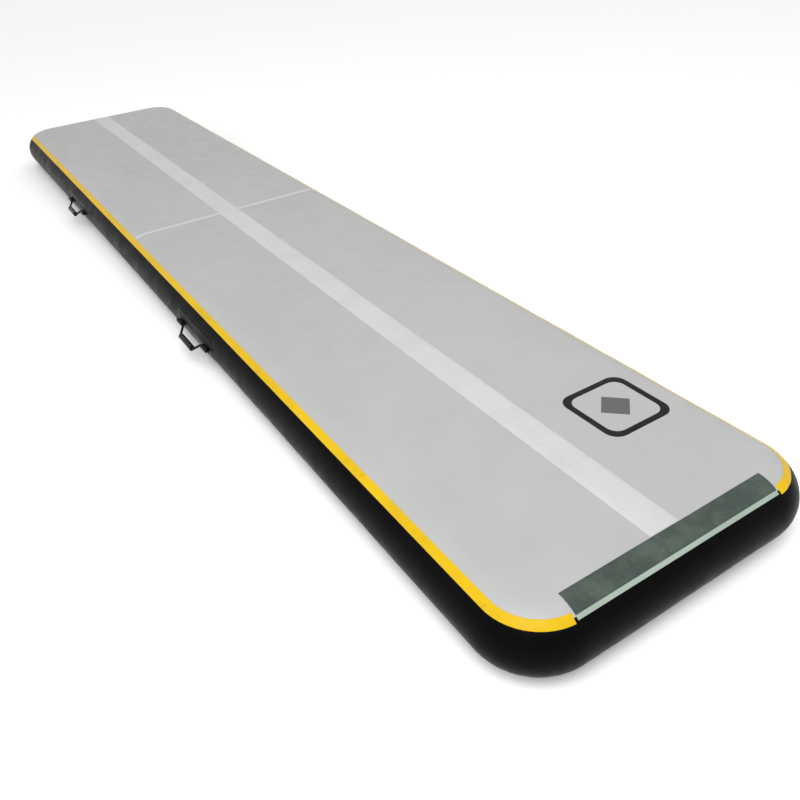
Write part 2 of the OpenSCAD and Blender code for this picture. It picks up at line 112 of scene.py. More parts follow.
class Paint(Nodes):
    """One procedural material: a Principled surface and the patterns that feed it."""

    def __init__(self, name: str) -> None:
        """Starts a material with only an output and a Principled surface."""
        self.material = bpy.data.materials.new(name)
        self.material.use_nodes = True
        super().__init__(self.material.node_tree)
        self.tree.nodes.clear()
        self.surface = self.add("ShaderNodeBsdfPrincipled")
        out = self.add("ShaderNodeOutputMaterial")
        self.tree.links.new(self.surface.outputs[0], out.inputs[0])
        where = self.add("ShaderNodeTexCoord")
        self.place, self.cloth = where.outputs["Object"], where.outputs["UV"]

    def noise(self, where: Socket, scale: float, detail: float = 4.0, roughness: float = 0.5) -> Socket:
        """Returns smooth noise; scale is in patterns per metre."""
        inputs = {"Vector": where, "Scale": scale, "Detail": detail, "Roughness": roughness}
        return self.add("ShaderNodeTexNoise", inputs).outputs[0]

    def band(self, value: Socket, low: float, high: float, to_low: float = 0.0,
             to_high: float = 1.0) -> Socket:
        """Returns value eased from one range to another, and held at its ends."""
        inputs = {"Value": value, "From Min": low, "From Max": high, "To Min": to_low, "To Max": to_high}
        return self.add("ShaderNodeMapRange", inputs, interpolation_type="SMOOTHSTEP").outputs[0]

    def threads(self, where: Socket, pitch: float) -> Socket:
        """Returns the height of a plain weave of that pitch: two crossed sets of threads."""
        scale = math.tau / 20 / pitch
        sets = [
            self.add("ShaderNodeTexWave", {"Vector": where, "Scale": scale}, bands_direction=axis).outputs[1]
            for axis in ("X", "Y")
        ]
        return self.math("MULTIPLY", *sets)

    def mix(self, share: Any, a: Any, b: Any) -> Socket:
        """Returns a colour between a and b."""
        a, b = ((*c, 1.0) if isinstance(c, tuple) else c for c in (a, b))
        return self.add("ShaderNodeMix", {0: share, 6: a, 7: b}, data_type="RGBA").outputs[2]

    def bump(self, height: Socket, depth: float, below: Optional[Socket] = None) -> Socket:
        """Returns a normal raised by height, which is depth metres deep, on top of another normal."""
        inputs = {"Height": height, "Distance": depth, "Strength": 1.0}
        if below is not None:
            inputs["Normal"] = below
        return self.add("ShaderNodeBump", inputs).outputs[0]

    def finish(self, **sockets: Any) -> bpy.types.Material:
        """Sets the surface's own sockets, by name with underscores for spaces, and returns the material."""
        for key, value in sockets.items():
            name = key.replace("_", " ")
            if isinstance(value, tuple):
                value = (*value, 1.0)
            if isinstance(value, Socket):
                self.tree.links.new(value, self.surface.inputs[name])
            else:
                self.surface.inputs[name].default_value = value
        return self.material


# ---------------------------------------------------------------- finishes


@dataclass(frozen=True)
class CoatedFabric:
    """Woven fabric under a smooth plastic coat, with a faint weave, mottling, dust and scuffs."""

    colour: Colour
    roughness: float
    weave_pitch: float = 1.6 * MM
    weave_depth: float = 0.05 * MM
    mottle: float = 0.10
    dust: Colour = (0.45, 0.43, 0.40)
    dust_share: float = 0.12
    scuff_share: float = 0.12
    gloss: float = 0.4

    def make(self, name: str) -> bpy.types.Material:
        """Returns the finish as a material."""
        p = Paint(name)
        dark = tuple(c * (1 - self.mottle) for c in self.colour)
        light = tuple(min(1.0, c * (1 + self.mottle)) for c in self.colour)
        cloudy = p.band(p.noise(p.place, 2.3, 5, 0.6), 0.3, 0.7)
        colour = p.mix(cloudy, dark, light)
        dusty = p.math("MULTIPLY", p.band(p.noise(p.place, 7, 8, 0.65), 0.5, 0.78), self.dust_share)
        colour = p.mix(dusty, colour, self.dust)
        streaks = p.add("ShaderNodeMapping", {"Vector": p.place, "Scale": (9.0, 70.0, 30.0)}).outputs[0]
        scuffed = p.band(p.noise(streaks, 1.0, 6, 0.7), 0.62, 0.74)
        scuffed = p.math("MULTIPLY", scuffed, p.band(p.noise(p.place, 3.1, 3), 0.5, 0.65))
        colour = p.mix(p.math("MULTIPLY", scuffed, self.scuff_share), colour, self.dust)
        worn = p.band(p.noise(p.place, 14, 6, 0.6), 0.3, 0.75, self.roughness - 0.07, self.roughness + 0.07)
        rough = p.math("ADD", worn, p.math("MULTIPLY", scuffed, 0.1))
        normal = p.bump(p.noise(p.place, 9, 4), 0.5 * MM)
        normal = p.bump(p.noise(p.place, 420, 3), 0.03 * MM, normal)
        normal = p.bump(p.threads(p.cloth, self.weave_pitch), self.weave_depth, normal)
        return p.finish(Base_Color=colour, Roughness=rough, Normal=normal, Specular_IOR_Level=self.gloss)


@dataclass(frozen=True)
class WeldedFilm:
    """Smooth plastic tape or film, with soft creases and small rubbed spots."""

    colour: Colour
    worn: Colour
    roughness: float
    crease: float = 0.25 * MM
    grime: Colour = (0.16, 0.15, 0.13)
    grime_share: float = 0.25
    gloss: float = 0.4

    def make(self, name: str) -> bpy.types.Material:
        """Returns the finish as a material."""
        p = Paint(name)
        colour = p.mix(p.band(p.noise(p.place, 5, 6, 0.6), 0.35, 0.7), self.colour, self.worn)
        spots = p.band(p.noise(p.place, 38, 5, 0.6), 0.58, 0.72)
        colour = p.mix(p.math("MULTIPLY", spots, self.grime_share), colour, self.grime)
        rough = p.band(p.noise(p.place, 60, 4), 0.3, 0.7, self.roughness - 0.06, self.roughness + 0.08)
        stretched = p.add("ShaderNodeMapping", {"Vector": p.cloth, "Scale": (60.0, 14.0, 1.0)}).outputs[0]
        normal = p.bump(p.noise(stretched, 1.0, 4, 0.55), self.crease)
        normal = p.bump(p.noise(p.place, 500, 2), 0.02 * MM, normal)
        return p.finish(Base_Color=colour, Roughness=rough, Normal=normal, Specular_IOR_Level=self.gloss)


@dataclass(frozen=True)
class MouldedRubber:
    """Moulded rubber or plastic with a fine grain, patches of dust and a soft or hard gloss."""

    colour: Colour
    roughness: float
    grain_scale: float = 900.0
    grain_depth: float = 0.03 * MM
    dust_share: float = 0.2
    coat: float = 0.0
    gloss: float = 0.3

    def make(self, name: str) -> bpy.types.Material:
        """Returns the finish as a material."""
        p = Paint(name)
        dusty = p.math("MULTIPLY", p.band(p.noise(p.place, 45, 6, 0.65), 0.5, 0.75), self.dust_share)
        faded = tuple(c * 1.5 + 0.001 for c in self.colour)
        colour = p.mix(p.band(p.noise(p.place, 20, 4), 0.35, 0.7), self.colour, faded)
        colour = p.mix(dusty, colour, (0.10, 0.095, 0.09))
        rough = p.math("ADD", p.math("MULTIPLY", dusty, 0.4), self.roughness)
        cells = p.add("ShaderNodeTexVoronoi", {"Vector": p.place, "Scale": self.grain_scale}).outputs[0]
        normal = p.bump(cells, self.grain_depth)
        return p.finish(Base_Color=colour, Roughness=rough, Normal=normal, Coat_Weight=self.coat,
                        Coat_Roughness=0.12, Specular_IOR_Level=self.gloss)


@dataclass(frozen=True)
class BraidedRope:
    """Braided cover of a cord. Its UV map runs once round the cord across and in metres along."""

    colour: Colour
    fleck: Colour
    roughness: float = 0.62
    fibre: float = 0.35 * MM

    def make(self, name: str) -> bpy.types.Material:
        """Returns the finish as a material."""
        p = Paint(name)
        strands = p.add("ShaderNodeMapping", {"Vector": p.cloth, "Scale": (0.03, 1.0, 1.0),
                                              "Rotation": (0.0, 0.0, math.radians(35))}).outputs[0]
        fibres = p.threads(strands, self.fibre)
        flecked = p.band(p.noise(p.place, 800, 3), 0.55, 0.7)
        colour = p.mix(p.math("MULTIPLY", flecked, 0.5), self.colour, self.fleck)
        normal = p.bump(fibres, 0.06 * MM)
        return p.finish(Base_Color=colour, Roughness=self.roughness, Normal=normal, Sheen_Weight=0.05,
                        Sheen_Roughness=0.5, Specular_IOR_Level=0.1)


@dataclass(frozen=True)
class LoopPile:
    """Soft loop side of a hook and loop tape."""

    colour: Colour
    crushed: Colour

    def make(self, name: str) -> bpy.types.Material:
        """Returns the finish as a material."""
        p = Paint(name)
        brushed = p.band(p.noise(p.place, 11, 5, 0.6), 0.36, 0.66)
        colour = p.mix(brushed, self.colour, self.crushed)
        lint = p.band(p.noise(p.place, 260, 4, 0.7), 0.6, 0.72)
        colour = p.mix(p.math("MULTIPLY", lint, 0.35), colour, (0.36, 0.38, 0.35))
        tufts = p.add("ShaderNodeTexVoronoi", {"Vector": p.place, "Scale": 550.0}).outputs[0]
        normal = p.bump(tufts, 0.5 * MM)
        return p.finish(Base_Color=colour, Roughness=0.92, Normal=normal, Sheen_Weight=0.08,
                        Sheen_Roughness=0.5, Specular_IOR_Level=0.12)


@dataclass(frozen=True)
class BrushedSteel:
    """Drawn or turned stainless steel with fine lines and a few stains."""

    colour: Colour = (0.62, 0.63, 0.64)
    roughness: float = 0.3

    def make(self, name: str) -> bpy.types.Material:
        """Returns the finish as a material."""
        p = Paint(name)
        lines = p.add("ShaderNodeMapping", {"Vector": p.place, "Scale": (40.0, 3000.0, 3000.0)}).outputs[0]
        drawn = p.noise(lines, 1.0, 3)
        stained = p.band(p.noise(p.place, 130, 4), 0.5, 0.7)
        colour = p.mix(p.math("MULTIPLY", stained, 0.3), self.colour, (0.33, 0.32, 0.30))
        rough = p.band(drawn, 0.3, 0.7, self.roughness - 0.08, self.roughness + 0.12)
        return p.finish(Base_Color=colour, Roughness=rough, Metallic=1.0, Normal=p.bump(drawn, 0.01 * MM))


class Slot(Enum):
    """The record's material slots, each with its finish."""

    top_fabric = CoatedFabric((0.335, 0.34, 0.334), 0.5, mottle=0.03, dust=(0.25, 0.245, 0.23))
    bottom_fabric = CoatedFabric(
        (0.22, 0.225, 0.225), 0.58, mottle=0.06, dust=(0.16, 0.15, 0.13), dust_share=0.3,
    )
    wall_fabric = CoatedFabric(
        (0.0012, 0.0012, 0.0014), 0.40, mottle=0.15, dust=(0.012, 0.012, 0.011), dust_share=0.08,
        weave_depth=0.03 * MM, gloss=0.035,
    )
    inner_wall_fabric = CoatedFabric((0.05, 0.05, 0.052), 0.6)
    patch_fabric = CoatedFabric(
        (0.0018, 0.0018, 0.002), 0.36, mottle=0.15, dust=(0.014, 0.014, 0.013), gloss=0.05,
    )
    yellow_tape = WeldedFilm(
        (0.57, 0.365, 0.003), (0.50, 0.32, 0.004), 0.38, grime=(0.22, 0.15, 0.01), gloss=0.12,
    )
    black_tape = WeldedFilm(
        (0.003, 0.003, 0.003), (0.006, 0.006, 0.006), 0.35, grime=(0.03, 0.028, 0.026), gloss=0.12,
    )
    marking_film = WeldedFilm(
        (0.455, 0.455, 0.45), (0.425, 0.425, 0.42), 0.46, crease=0.1 * MM, grime=(0.26, 0.255, 0.24),
        grime_share=0.2,
    )
    dark_mark_film = WeldedFilm(
        (0.005, 0.005, 0.006), (0.010, 0.010, 0.011), 0.5, crease=0.1 * MM, grime=(0.05, 0.05, 0.05),
        gloss=0.12,
    )
    grey_mark_film = WeldedFilm(
        (0.082, 0.083, 0.083), (0.095, 0.096, 0.095), 0.5, crease=0.1 * MM, grime=(0.06, 0.06, 0.06),
        gloss=0.2,
    )
    connector_base = WeldedFilm(
        (0.27, 0.33, 0.275), (0.24, 0.30, 0.25), 0.5, crease=0.12 * MM, gloss=0.25,
    )
    loop_tape = LoopPile((0.042, 0.058, 0.049), (0.068, 0.088, 0.076))
    moulded_rubber = MouldedRubber((0.0022, 0.0022, 0.0024), 0.40, dust_share=0.04, gloss=0.08)
    handle_rope = BraidedRope((0.0025, 0.0025, 0.0025), (0.009, 0.009, 0.009))
    grip_rubber = MouldedRubber(
        (0.002, 0.002, 0.002), 0.22, grain_depth=0.01 * MM, dust_share=0.02, coat=0.12, gloss=0.1,
    )
    ferrule_plastic = MouldedRubber(
        (0.003, 0.003, 0.003), 0.3, grain_depth=0.01 * MM, dust_share=0.04, coat=0.1, gloss=0.1,
    )
    valve_plastic = MouldedRubber((0.008, 0.008, 0.009), 0.34, grain_scale=1400.0, grain_depth=0.02 * MM)
    stem_plastic = MouldedRubber((0.52, 0.52, 0.50), 0.42, grain_scale=1400.0, grain_depth=0.01 * MM)
    seal_rubber = MouldedRubber((0.018, 0.018, 0.018), 0.6)
    stitch_thread = BraidedRope((0.72, 0.72, 0.70), (0.50, 0.50, 0.47))
    valve_steel = BrushedSteel()

    def material(self) -> bpy.types.Material:
        """Returns this slot's material, made once."""
        name = f"{self.name}_finish"
        return bpy.data.materials.get(name) or self.value.make(name)


# ---------------------------------------------------------------- meshes


def new_piece(name: str, points: np.ndarray, faces: Sequence[Sequence[int]], slot: Slot,
              uv: Optional[np.ndarray] = None, merge: float = 0.0) -> bpy.types.Object:
    """Makes one closed mesh whose faces point outwards.

    Args:
        name: the piece's name.
        points: the corners, one row each.
        faces: the corner numbers of each face, all wound the same way.
        slot: the finish.
        uv: one pair of surface coordinates for each corner.
        merge: corners nearer to each other than this are joined.

    Returns:
        The object, at the origin, in the scene.
    """
    mesh = bpy.data.meshes.new(name)
    mesh.from_pydata(points.tolist(), [], [list(f) for f in faces])
    if uv is not None:
        corner = np.empty(len(mesh.loops), np.int32)
        mesh.loops.foreach_get("vertex_index", corner)
        mesh.uv_layers.new(name="surface").data.foreach_set("uv", uv[corner].astype(np.float32).ravel())
    work = bmesh.new()
    work.from_mesh(mesh)
    if merge:
        bmesh.ops.remove_doubles(work, verts=work.verts, dist=merge)
        bmesh.ops.dissolve_degenerate(work, edges=work.edges, dist=merge / 10)
    if work.calc_volume(signed=True) < 0:
        bmesh.ops.reverse_faces(work, faces=work.faces)
    work.to_mesh(mesh)
    work.free()
    mesh.shade_smooth()
    mesh.set_sharp_from_angle(angle=SHARP_EDGE)
    mesh.materials.append(slot.material())
    piece = bpy.data.objects.new(name, mesh)
    bpy.context.scene.collection.objects.link(piece)
    return piece


def grid_faces(rows: int, cols: int, first: int = 0, wrap: bool = False) -> list[tuple[int, int, int, int]]:
    """Returns the faces of a grid of points stored row by row.

    Args:
        rows: number of rows.
        cols: number of points in a row.
        first: number of the grid's first point.
        wrap: True if the last point of a row joins its first.
    """
    return [
        (first + i * cols + j, first + i * cols + (j + 1) % cols,
         first + (i + 1) * cols + (j + 1) % cols, first + (i + 1) * cols + j)
        for i in range(rows - 1)
        for j in range(cols if wrap else cols - 1)
    ]


def shell(name: str, outer: np.ndarray, inner: np.ndarray, slot: Slot, uv: np.ndarray,
          wrap: bool = False, merge: float = 0.0,
          rims: tuple[bool, bool] = (True, True)) -> bpy.types.Object:
    """Makes a closed shell from its outer and inner grids of points.

    Args:
        name: the piece's name.
        outer: the outer grid, rows x columns x 3.
        inner: the inner grid, with the same rows and columns.
        slot: the finish.
        uv: surface coordinates, rows x columns x 2.
        wrap: True if the rows are closed rings.
        merge: corners nearer to each other than this are joined.
        rims: whether the first and the last row end in a rim; a row that is a pole or a spine doesn't.

    Returns:
        The shell.
    """
    rows, cols = outer.shape[:2]
    count = rows * cols
    faces = grid_faces(rows, cols, 0, wrap)
    faces += [f[::-1] for f in grid_faces(rows, cols, count, wrap)]
    around = [(j, (j + 1) % cols) for j in range(cols if wrap else cols - 1)]
    last = (rows - 1) * cols
    if rims[0]:
        faces += [(b, a, count + a, count + b) for a, b in around]
    if rims[1]:
        faces += [(last + a, last + b, count + last + b, count + last + a) for a, b in around]
    if not wrap:
        for i in range(rows - 1):
            a, b = i * cols, (i + 1) * cols
            faces.append((a, b, count + b, count + a))
            a, b = a + cols - 1, b + cols - 1
            faces.append((b, a, count + a, count + b))
    points = np.concatenate([outer.reshape(-1, 3), inner.reshape(-1, 3)])
    both = np.concatenate([uv.reshape(-1, 2)] * 2)
    return new_piece(name, points, faces, slot, both, merge)


def lathe(name: str, profile: Sequence[tuple[float, float]], slot: Slot, place: Matrix,
          sides: int = 64) -> bpy.types.Object:
    """Turns a closed profile of (radius, height) points round local Z.

    Args:
        name: the piece's name.
        profile: the outline, which may touch the axis.
        slot: the finish.
        place: the piece's place in the frame.
        sides: number of facets round the axis.

    Returns:
        The turned piece.
    """
    turn = np.linspace(0, math.tau, sides, endpoint=False)
    r, h = np.array(profile).T
    up = np.repeat(h[:, None], sides, 1)
    points = np.stack([r[:, None] * np.cos(turn), r[:, None] * np.sin(turn), up], -1)
    loop = np.concatenate([points, points[:1]])
    uv = np.stack([np.broadcast_to(turn / math.tau, loop.shape[:2]),
                   np.broadcast_to(np.linspace(0, 1, len(loop))[:, None], loop.shape[:2])], -1)
    return new_piece(name, moved(loop.reshape(-1, 3), place), grid_faces(len(loop), sides, 0, True), slot,
                     uv.reshape(-1, 2), 1e-7)


def moved(points: np.ndarray, place: Matrix) -> np.ndarray:
    """Returns points carried by a matrix."""
    m = np.array(place)
    return points @ m[:3, :3].T + m[:3, 3]


def arc(centre: tuple[float, float], r: float, start: float, stop: float,
        n: int = 6) -> list[tuple[float, float]]:
    """Returns n + 1 points of an arc, with its angles in degrees."""
    return [(centre[0] + r * math.cos(math.radians(a)), centre[1] + r * math.sin(math.radians(a)))
            for a in np.linspace(start, stop, n + 1)]


class Ripples:
    """Smooth seeded unevenness: a sum of waves that run in every direction."""

    def __init__(self, seed: int, longest: float, shortest: float, count: int = 14) -> None:
        """Draws the waves. Wavelengths are in metres."""
        draw = np.random.default_rng(seed)
        ways = draw.normal(size=(count, 3))
        ways /= np.linalg.norm(ways, axis=1)[:, None]
        self.waves = ways * (math.tau / np.geomspace(longest, shortest, count))[:, None]
        self.phases = draw.uniform(0, math.tau, count)

    def at(self, points: np.ndarray) -> np.ndarray:
        """Returns the height at points, about -1 to 1."""
        total = sum(np.cos(points @ w + phase) for w, phase in zip(self.waves, self.phases))
        return np.tanh(total / math.sqrt(len(self.phases)))


@dataclass
class Stations:
    """Places on the mat's surface: points of the plan path, the way out from them, the height as an angle.

    On the flat top the angle is 90 degrees. Angles are above the middle of the rounded edge, in degrees.
    """

    plan: np.ndarray
    out: np.ndarray
    angle: np.ndarray
    uv: np.ndarray


@dataclass
class MatShape:
    """The inflated mat's surface, which every layer of fabric, tape and film follows.

    Attributes:
        corner_radius: plan radius of the outline at a corner.
        seam_angle: height of the seams, in degrees.
        sag: size of the broad soft waves.
        pucker: size of the short puckers beside the seams.
        fold: size of the folds at the corners, where the tape is pulled round.
        pucker_reach: how far the puckers reach from a seam, in degrees.
        fold_count: number of folds in a full turn.
    """

    corner_radius: float = 180 * MM
    seam_angle: float = 55.0
    sag: float = 0.55 * MM
    pucker: float = 0.4 * MM
    fold: float = 1.3 * MM
    pucker_reach: float = 11.0
    fold_count: int = 17
    half_w: float = field(init=False)
    half_l: float = field(init=False)
    edge_r: float = field(init=False)

    def __post_init__(self) -> None:
        """Reads the overall size from the frame and draws the waves."""
        low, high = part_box("outer_side_wall")
        self.half_w, self.half_l = high.x, -low.y
        self.edge_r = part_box("top_skin")[1].z / 2
        self.bend_r = self.corner_radius - self.edge_r
        self.across, self.along = self.half_w - self.edge_r, self.half_l - self.edge_r
        self.broad = Ripples(11, 1.1, 0.22)
        self.fine = Ripples(23, 0.11, 0.045)
        a, b, quarter = self.across - self.bend_r, self.along - self.bend_r, self.bend_r * math.pi / 2
        legs = [a, quarter, 2 * b, quarter, 2 * a, quarter, 2 * b, quarter, a]
        self.keys = np.concatenate([[0], np.cumsum(legs)])
        self.centre_x = [0, a, a, a, a, -a, -a, -a, -a, 0]
        self.centre_y = [-b, -b, -b, b, b, b, b, -b, -b, -b]
        self.turned = [-90, -90, 0, 0, 90, 90, 180, 180, 270, 270]
        self.round = self.keys[-1]
        self.rear_start = self.keys[4]

    def edge(self, s: np.ndarray, angles: np.ndarray) -> Stations:
        """Returns a grid of places on the rounded edge.

        Args:
            s: distances round the edge of the flat top, from the middle of the front end.
            angles: heights, one for each row.
        """
        at = np.mod(s, self.round)
        turn = np.radians(np.interp(at, self.keys, self.turned))
        out = np.stack([np.cos(turn), np.sin(turn)], -1)
        plan = np.stack([np.interp(at, self.keys, line) for line in (self.centre_x, self.centre_y)], -1)
        plan = plan + self.bend_r * out
        shape = (len(angles), len(s))
        angle = np.broadcast_to(np.asarray(angles, float)[:, None], shape)
        uv = np.stack([np.broadcast_to(s, shape), np.radians(angle) * self.edge_r], -1)
        return Stations(np.broadcast_to(plan, (*shape, 2)), np.broadcast_to(out, (*shape, 2)), angle, uv)

    def over(self, plan: np.ndarray, out: tuple[float, float], angle: np.ndarray) -> Stations:
        """Returns places on the flat top and one straight stretch of the edge, with unrolled plan places."""
        outs = np.broadcast_to(np.array(out, float), plan.shape)
        angle = np.broadcast_to(angle, plan.shape[:-1])
        uv = plan + outs * (np.radians(90 - angle) * self.edge_r)[..., None]
        return Stations(plan, outs, angle, uv)

    def relief(self, at: Stations) -> np.ndarray:
        """Returns how far the surface stands out of the plain shape at each place."""
        flat = self.plain(at, 0.0)
        near_seam = np.exp(-(((np.abs(at.angle) - self.seam_angle) / self.pucker_reach) ** 2))
        near_seam *= np.clip((88 - np.abs(at.angle)) / 12, 0, 1)
        bend = np.abs(2 * at.out[..., 0] * at.out[..., 1])
        turn = np.arctan2(at.out[..., 1], at.out[..., 0])
        folds = (0.35 + 0.65 * np.sin(self.fold_count * turn + 2 * np.sin(5 * turn))) * bend ** 0.5
        folds = folds * np.where(np.abs(at.angle) < 85, 1.0, 0.0)
        off_floor = np.clip((at.angle + 80) / 25, 0, 1)
        wall = np.clip((75 - np.abs(at.angle)) / 30, 0, 1)
        return off_floor * (
            self.sag * self.broad.at(flat)
            + self.pucker * near_seam * self.fine.at(np.concatenate([at.plan, 0 * at.plan[..., :1]], -1))
            + self.fold * folds * np.maximum(near_seam, 0.35 * wall)
        )

    def plain(self, at: Stations, lift: Any) -> np.ndarray:
        """Returns points lift metres above the plain shape."""
        r = self.edge_r + lift
        turn = np.radians(at.angle)
        flat = at.plan + at.out * (r * np.cos(turn))[..., None]
        return np.concatenate([flat, (self.edge_r + r * np.sin(turn))[..., None]], -1)

    def points(self, at: Stations, lift: Any) -> np.ndarray:
        """Returns points lift metres above the uneven surface."""
        return self.plain(at, lift + self.relief(at))

    def steps(self, start: float, stop: float, step: float) -> np.ndarray:
        """Returns evenly spaced values from start to stop, about step apart."""
        return np.linspace(start, stop, max(2, round(abs(stop - start) / step) + 1))

    def layer(self, name: str, at: Stations, low: float, high: float, slot: Slot, wrap: bool = False,
              feather: float = 0.35) -> bpy.types.Object:
        """Makes a thin layer that follows the surface, with soft welded edges.

        Args:
            name: the piece's name.
            at: the places that it covers.
            low: height of its underside above the plain shape.
            high: height of its upper side.
            slot: the finish.
            wrap: True if the rows are closed rings.
            feather: share of the thickness left at the very edge.
        """
        rows, cols = at.angle.shape
        share = np.ones((rows, cols))
        share[[0, -1], :] = feather
        if not wrap:
            share[:, [0, -1]] = feather
        lift = low + (high - low) * share
        under = self.points(at, np.full((rows, cols), low))
        return shell(name, self.points(at, lift), under, slot, at.uv, wrap)


def edged(values: np.ndarray, margin: float) -> np.ndarray:
    """Returns values with one more close inside each end, where a layer's edge turns down."""
    way = math.copysign(margin, values[-1] - values[0])
    return np.concatenate([values[:1], [values[0] + way], values[1:-1], [values[-1] - way], values[-1:]])


def dress(piece: bpy.types.Object, body: str, slot: Slot, *nodes: str) -> bpy.types.Object:
    """Ties a finished piece to its body and hides the frame's nodes that it stands for."""
    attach(piece, body)
    if nodes:
        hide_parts(*nodes)
    LOG.info("%s: %d faces, on %s", piece.name, len(piece.data.polygons), body)
    return piece


# ---------------------------------------------------------------- repeated shapes


class Repeat:
    """Geometry Nodes trees for shapes that repeat, each built once."""

    def __init__(self) -> None:
        """Starts with no trees."""
        self.made: dict[str, bpy.types.NodeTree] = {}

    def start(self, name: str, inputs: dict[str, str]) -> tuple[Nodes, dict[str, Socket]]:
        """Starts a tree with named inputs and returns its builder and the input sockets."""
        tree = bpy.data.node_groups.new(name, "GeometryNodeTree")
        for label, kind in inputs.items():
            tree.interface.new_socket(label, in_out="INPUT", socket_type=kind)
        tree.interface.new_socket("Geometry", in_out="OUTPUT", socket_type="NodeSocketGeometry")
        nodes = Nodes(tree)
        given = nodes.add("NodeGroupInput")
        return nodes, {label: given.outputs[label] for label in inputs}

    def close(self, nodes: Nodes, points: Socket, shape: Socket, turn: Socket, size: Any,
              finish: Socket) -> None:
        """Puts the shape on every point, makes it real, gives it its finish and ends the tree."""
        thing = nodes.add("GeometryNodeObjectInfo", {"Object": shape}).outputs["Geometry"]
        many = nodes.add("GeometryNodeInstanceOnPoints",
                         {"Points": points, "Instance": thing, "Rotation": turn, "Scale": size}).outputs[0]
        real = nodes.add("GeometryNodeRealizeInstances", {"Geometry": many}).outputs[0]
        done = nodes.add("GeometryNodeSetMaterial", {"Geometry": real, "Material": finish}).outputs[0]
        nodes.add("NodeGroupOutput", {"Geometry": done})

    def row(self) -> bpy.types.NodeTree:
        """Returns the tree that sets shapes in a straight row along Z, or in a ring round it."""
        if "row" not in self.made:
            nodes, given = self.start("shapes_in_a_row", {
                "Shape": "NodeSocketObject", "Count": "NodeSocketInt", "Radius": "NodeSocketFloat",
                "Turn": "NodeSocketFloat", "Rise": "NodeSocketFloat", "Finish": "NodeSocketMaterial"})
            number = nodes.add("GeometryNodeInputIndex").outputs[0]
            angle = nodes.math("MULTIPLY", number, given["Turn"])
            x = nodes.math("MULTIPLY", nodes.math("COSINE", angle), given["Radius"])
            y = nodes.math("MULTIPLY", nodes.math("SINE", angle), given["Radius"])
            z = nodes.math("MULTIPLY", number, given["Rise"])
            where = nodes.add("ShaderNodeCombineXYZ", {0: x, 1: y, 2: z}).outputs[0]
            points = nodes.add("GeometryNodePoints", {"Count": given["Count"], "Position": where}).outputs[0]
            spin = nodes.add("ShaderNodeCombineXYZ", {2: angle}).outputs[0]
            turn = nodes.add("FunctionNodeEulerToRotation", {0: spin}).outputs[0]
            self.close(nodes, points, given["Shape"], turn, (1.0, 1.0, 1.0), given["Finish"])
            self.made["row"] = nodes.tree
        return self.made["row"]

    def stitches(self) -> bpy.types.NodeTree:
        """Returns the tree that sets shapes along a line, a pitch apart, lying on the surface beneath it."""
        if "stitches" not in self.made:
            nodes, given = self.start("shapes_along_a_line", {
                "Geometry": "NodeSocketGeometry", "Shape": "NodeSocketObject", "Pitch": "NodeSocketFloat",
                "Finish": "NodeSocketMaterial"})
            line = nodes.add("GeometryNodeMeshToCurve", {"Mesh": given["Geometry"]}).outputs[0]
            spaced = nodes.add("GeometryNodeResampleCurve", {"Curve": line, "Length": given["Pitch"]},
                               mode="LENGTH")
            along = nodes.add("GeometryNodeInputTangent").outputs[0]
            up = nodes.add("GeometryNodeInputNamedAttribute", {"Name": "up"},
                           data_type="FLOAT_VECTOR").outputs[0]
            turn = nodes.add("FunctionNodeAlignRotationToVector", {"Vector": along}, axis="X").outputs[0]
            turn = nodes.add("FunctionNodeAlignRotationToVector", {"Rotation": turn, "Vector": up},
                             axis="Z", pivot_axis="X").outputs[0]
            self.close(nodes, spaced.outputs[0], given["Shape"], turn, (1.0, 1.0, 1.0), given["Finish"])
            self.made["stitches"] = nodes.tree
        return self.made["stitches"]

    def pile(self) -> bpy.types.NodeTree:
        """Returns the tree that scatters shapes over a surface, turned and sized at random from a seed."""
        if "pile" not in self.made:
            nodes, given = self.start("shapes_over_a_surface", {
                "Geometry": "NodeSocketGeometry", "Shape": "NodeSocketObject", "Density": "NodeSocketFloat",
                "Seed": "NodeSocketInt", "Finish": "NodeSocketMaterial"})
            spread = nodes.add("GeometryNodeDistributePointsOnFaces", {
                "Mesh": given["Geometry"], "Density": given["Density"], "Seed": given["Seed"]})
            spin = nodes.add("FunctionNodeRandomValue", {
                0: (-0.5, -0.5, 0.0), 1: (0.5, 0.5, math.tau), "Seed": given["Seed"]},
                data_type="FLOAT_VECTOR")
            local = nodes.add("FunctionNodeEulerToRotation", {0: spin.outputs[0]}).outputs[0]
            turn = nodes.add("FunctionNodeRotateRotation", {0: spread.outputs["Rotation"], 1: local},
                             rotation_space="LOCAL").outputs[0]
            size = nodes.add("FunctionNodeRandomValue", {
                2: 0.75, 3: 1.2, "Seed": given["Seed"]}, data_type="FLOAT")
            self.close(nodes, spread.outputs["Points"], given["Shape"], turn, size.outputs[1],
                       given["Finish"])
            self.made["pile"] = nodes.tree
        return self.made["pile"]

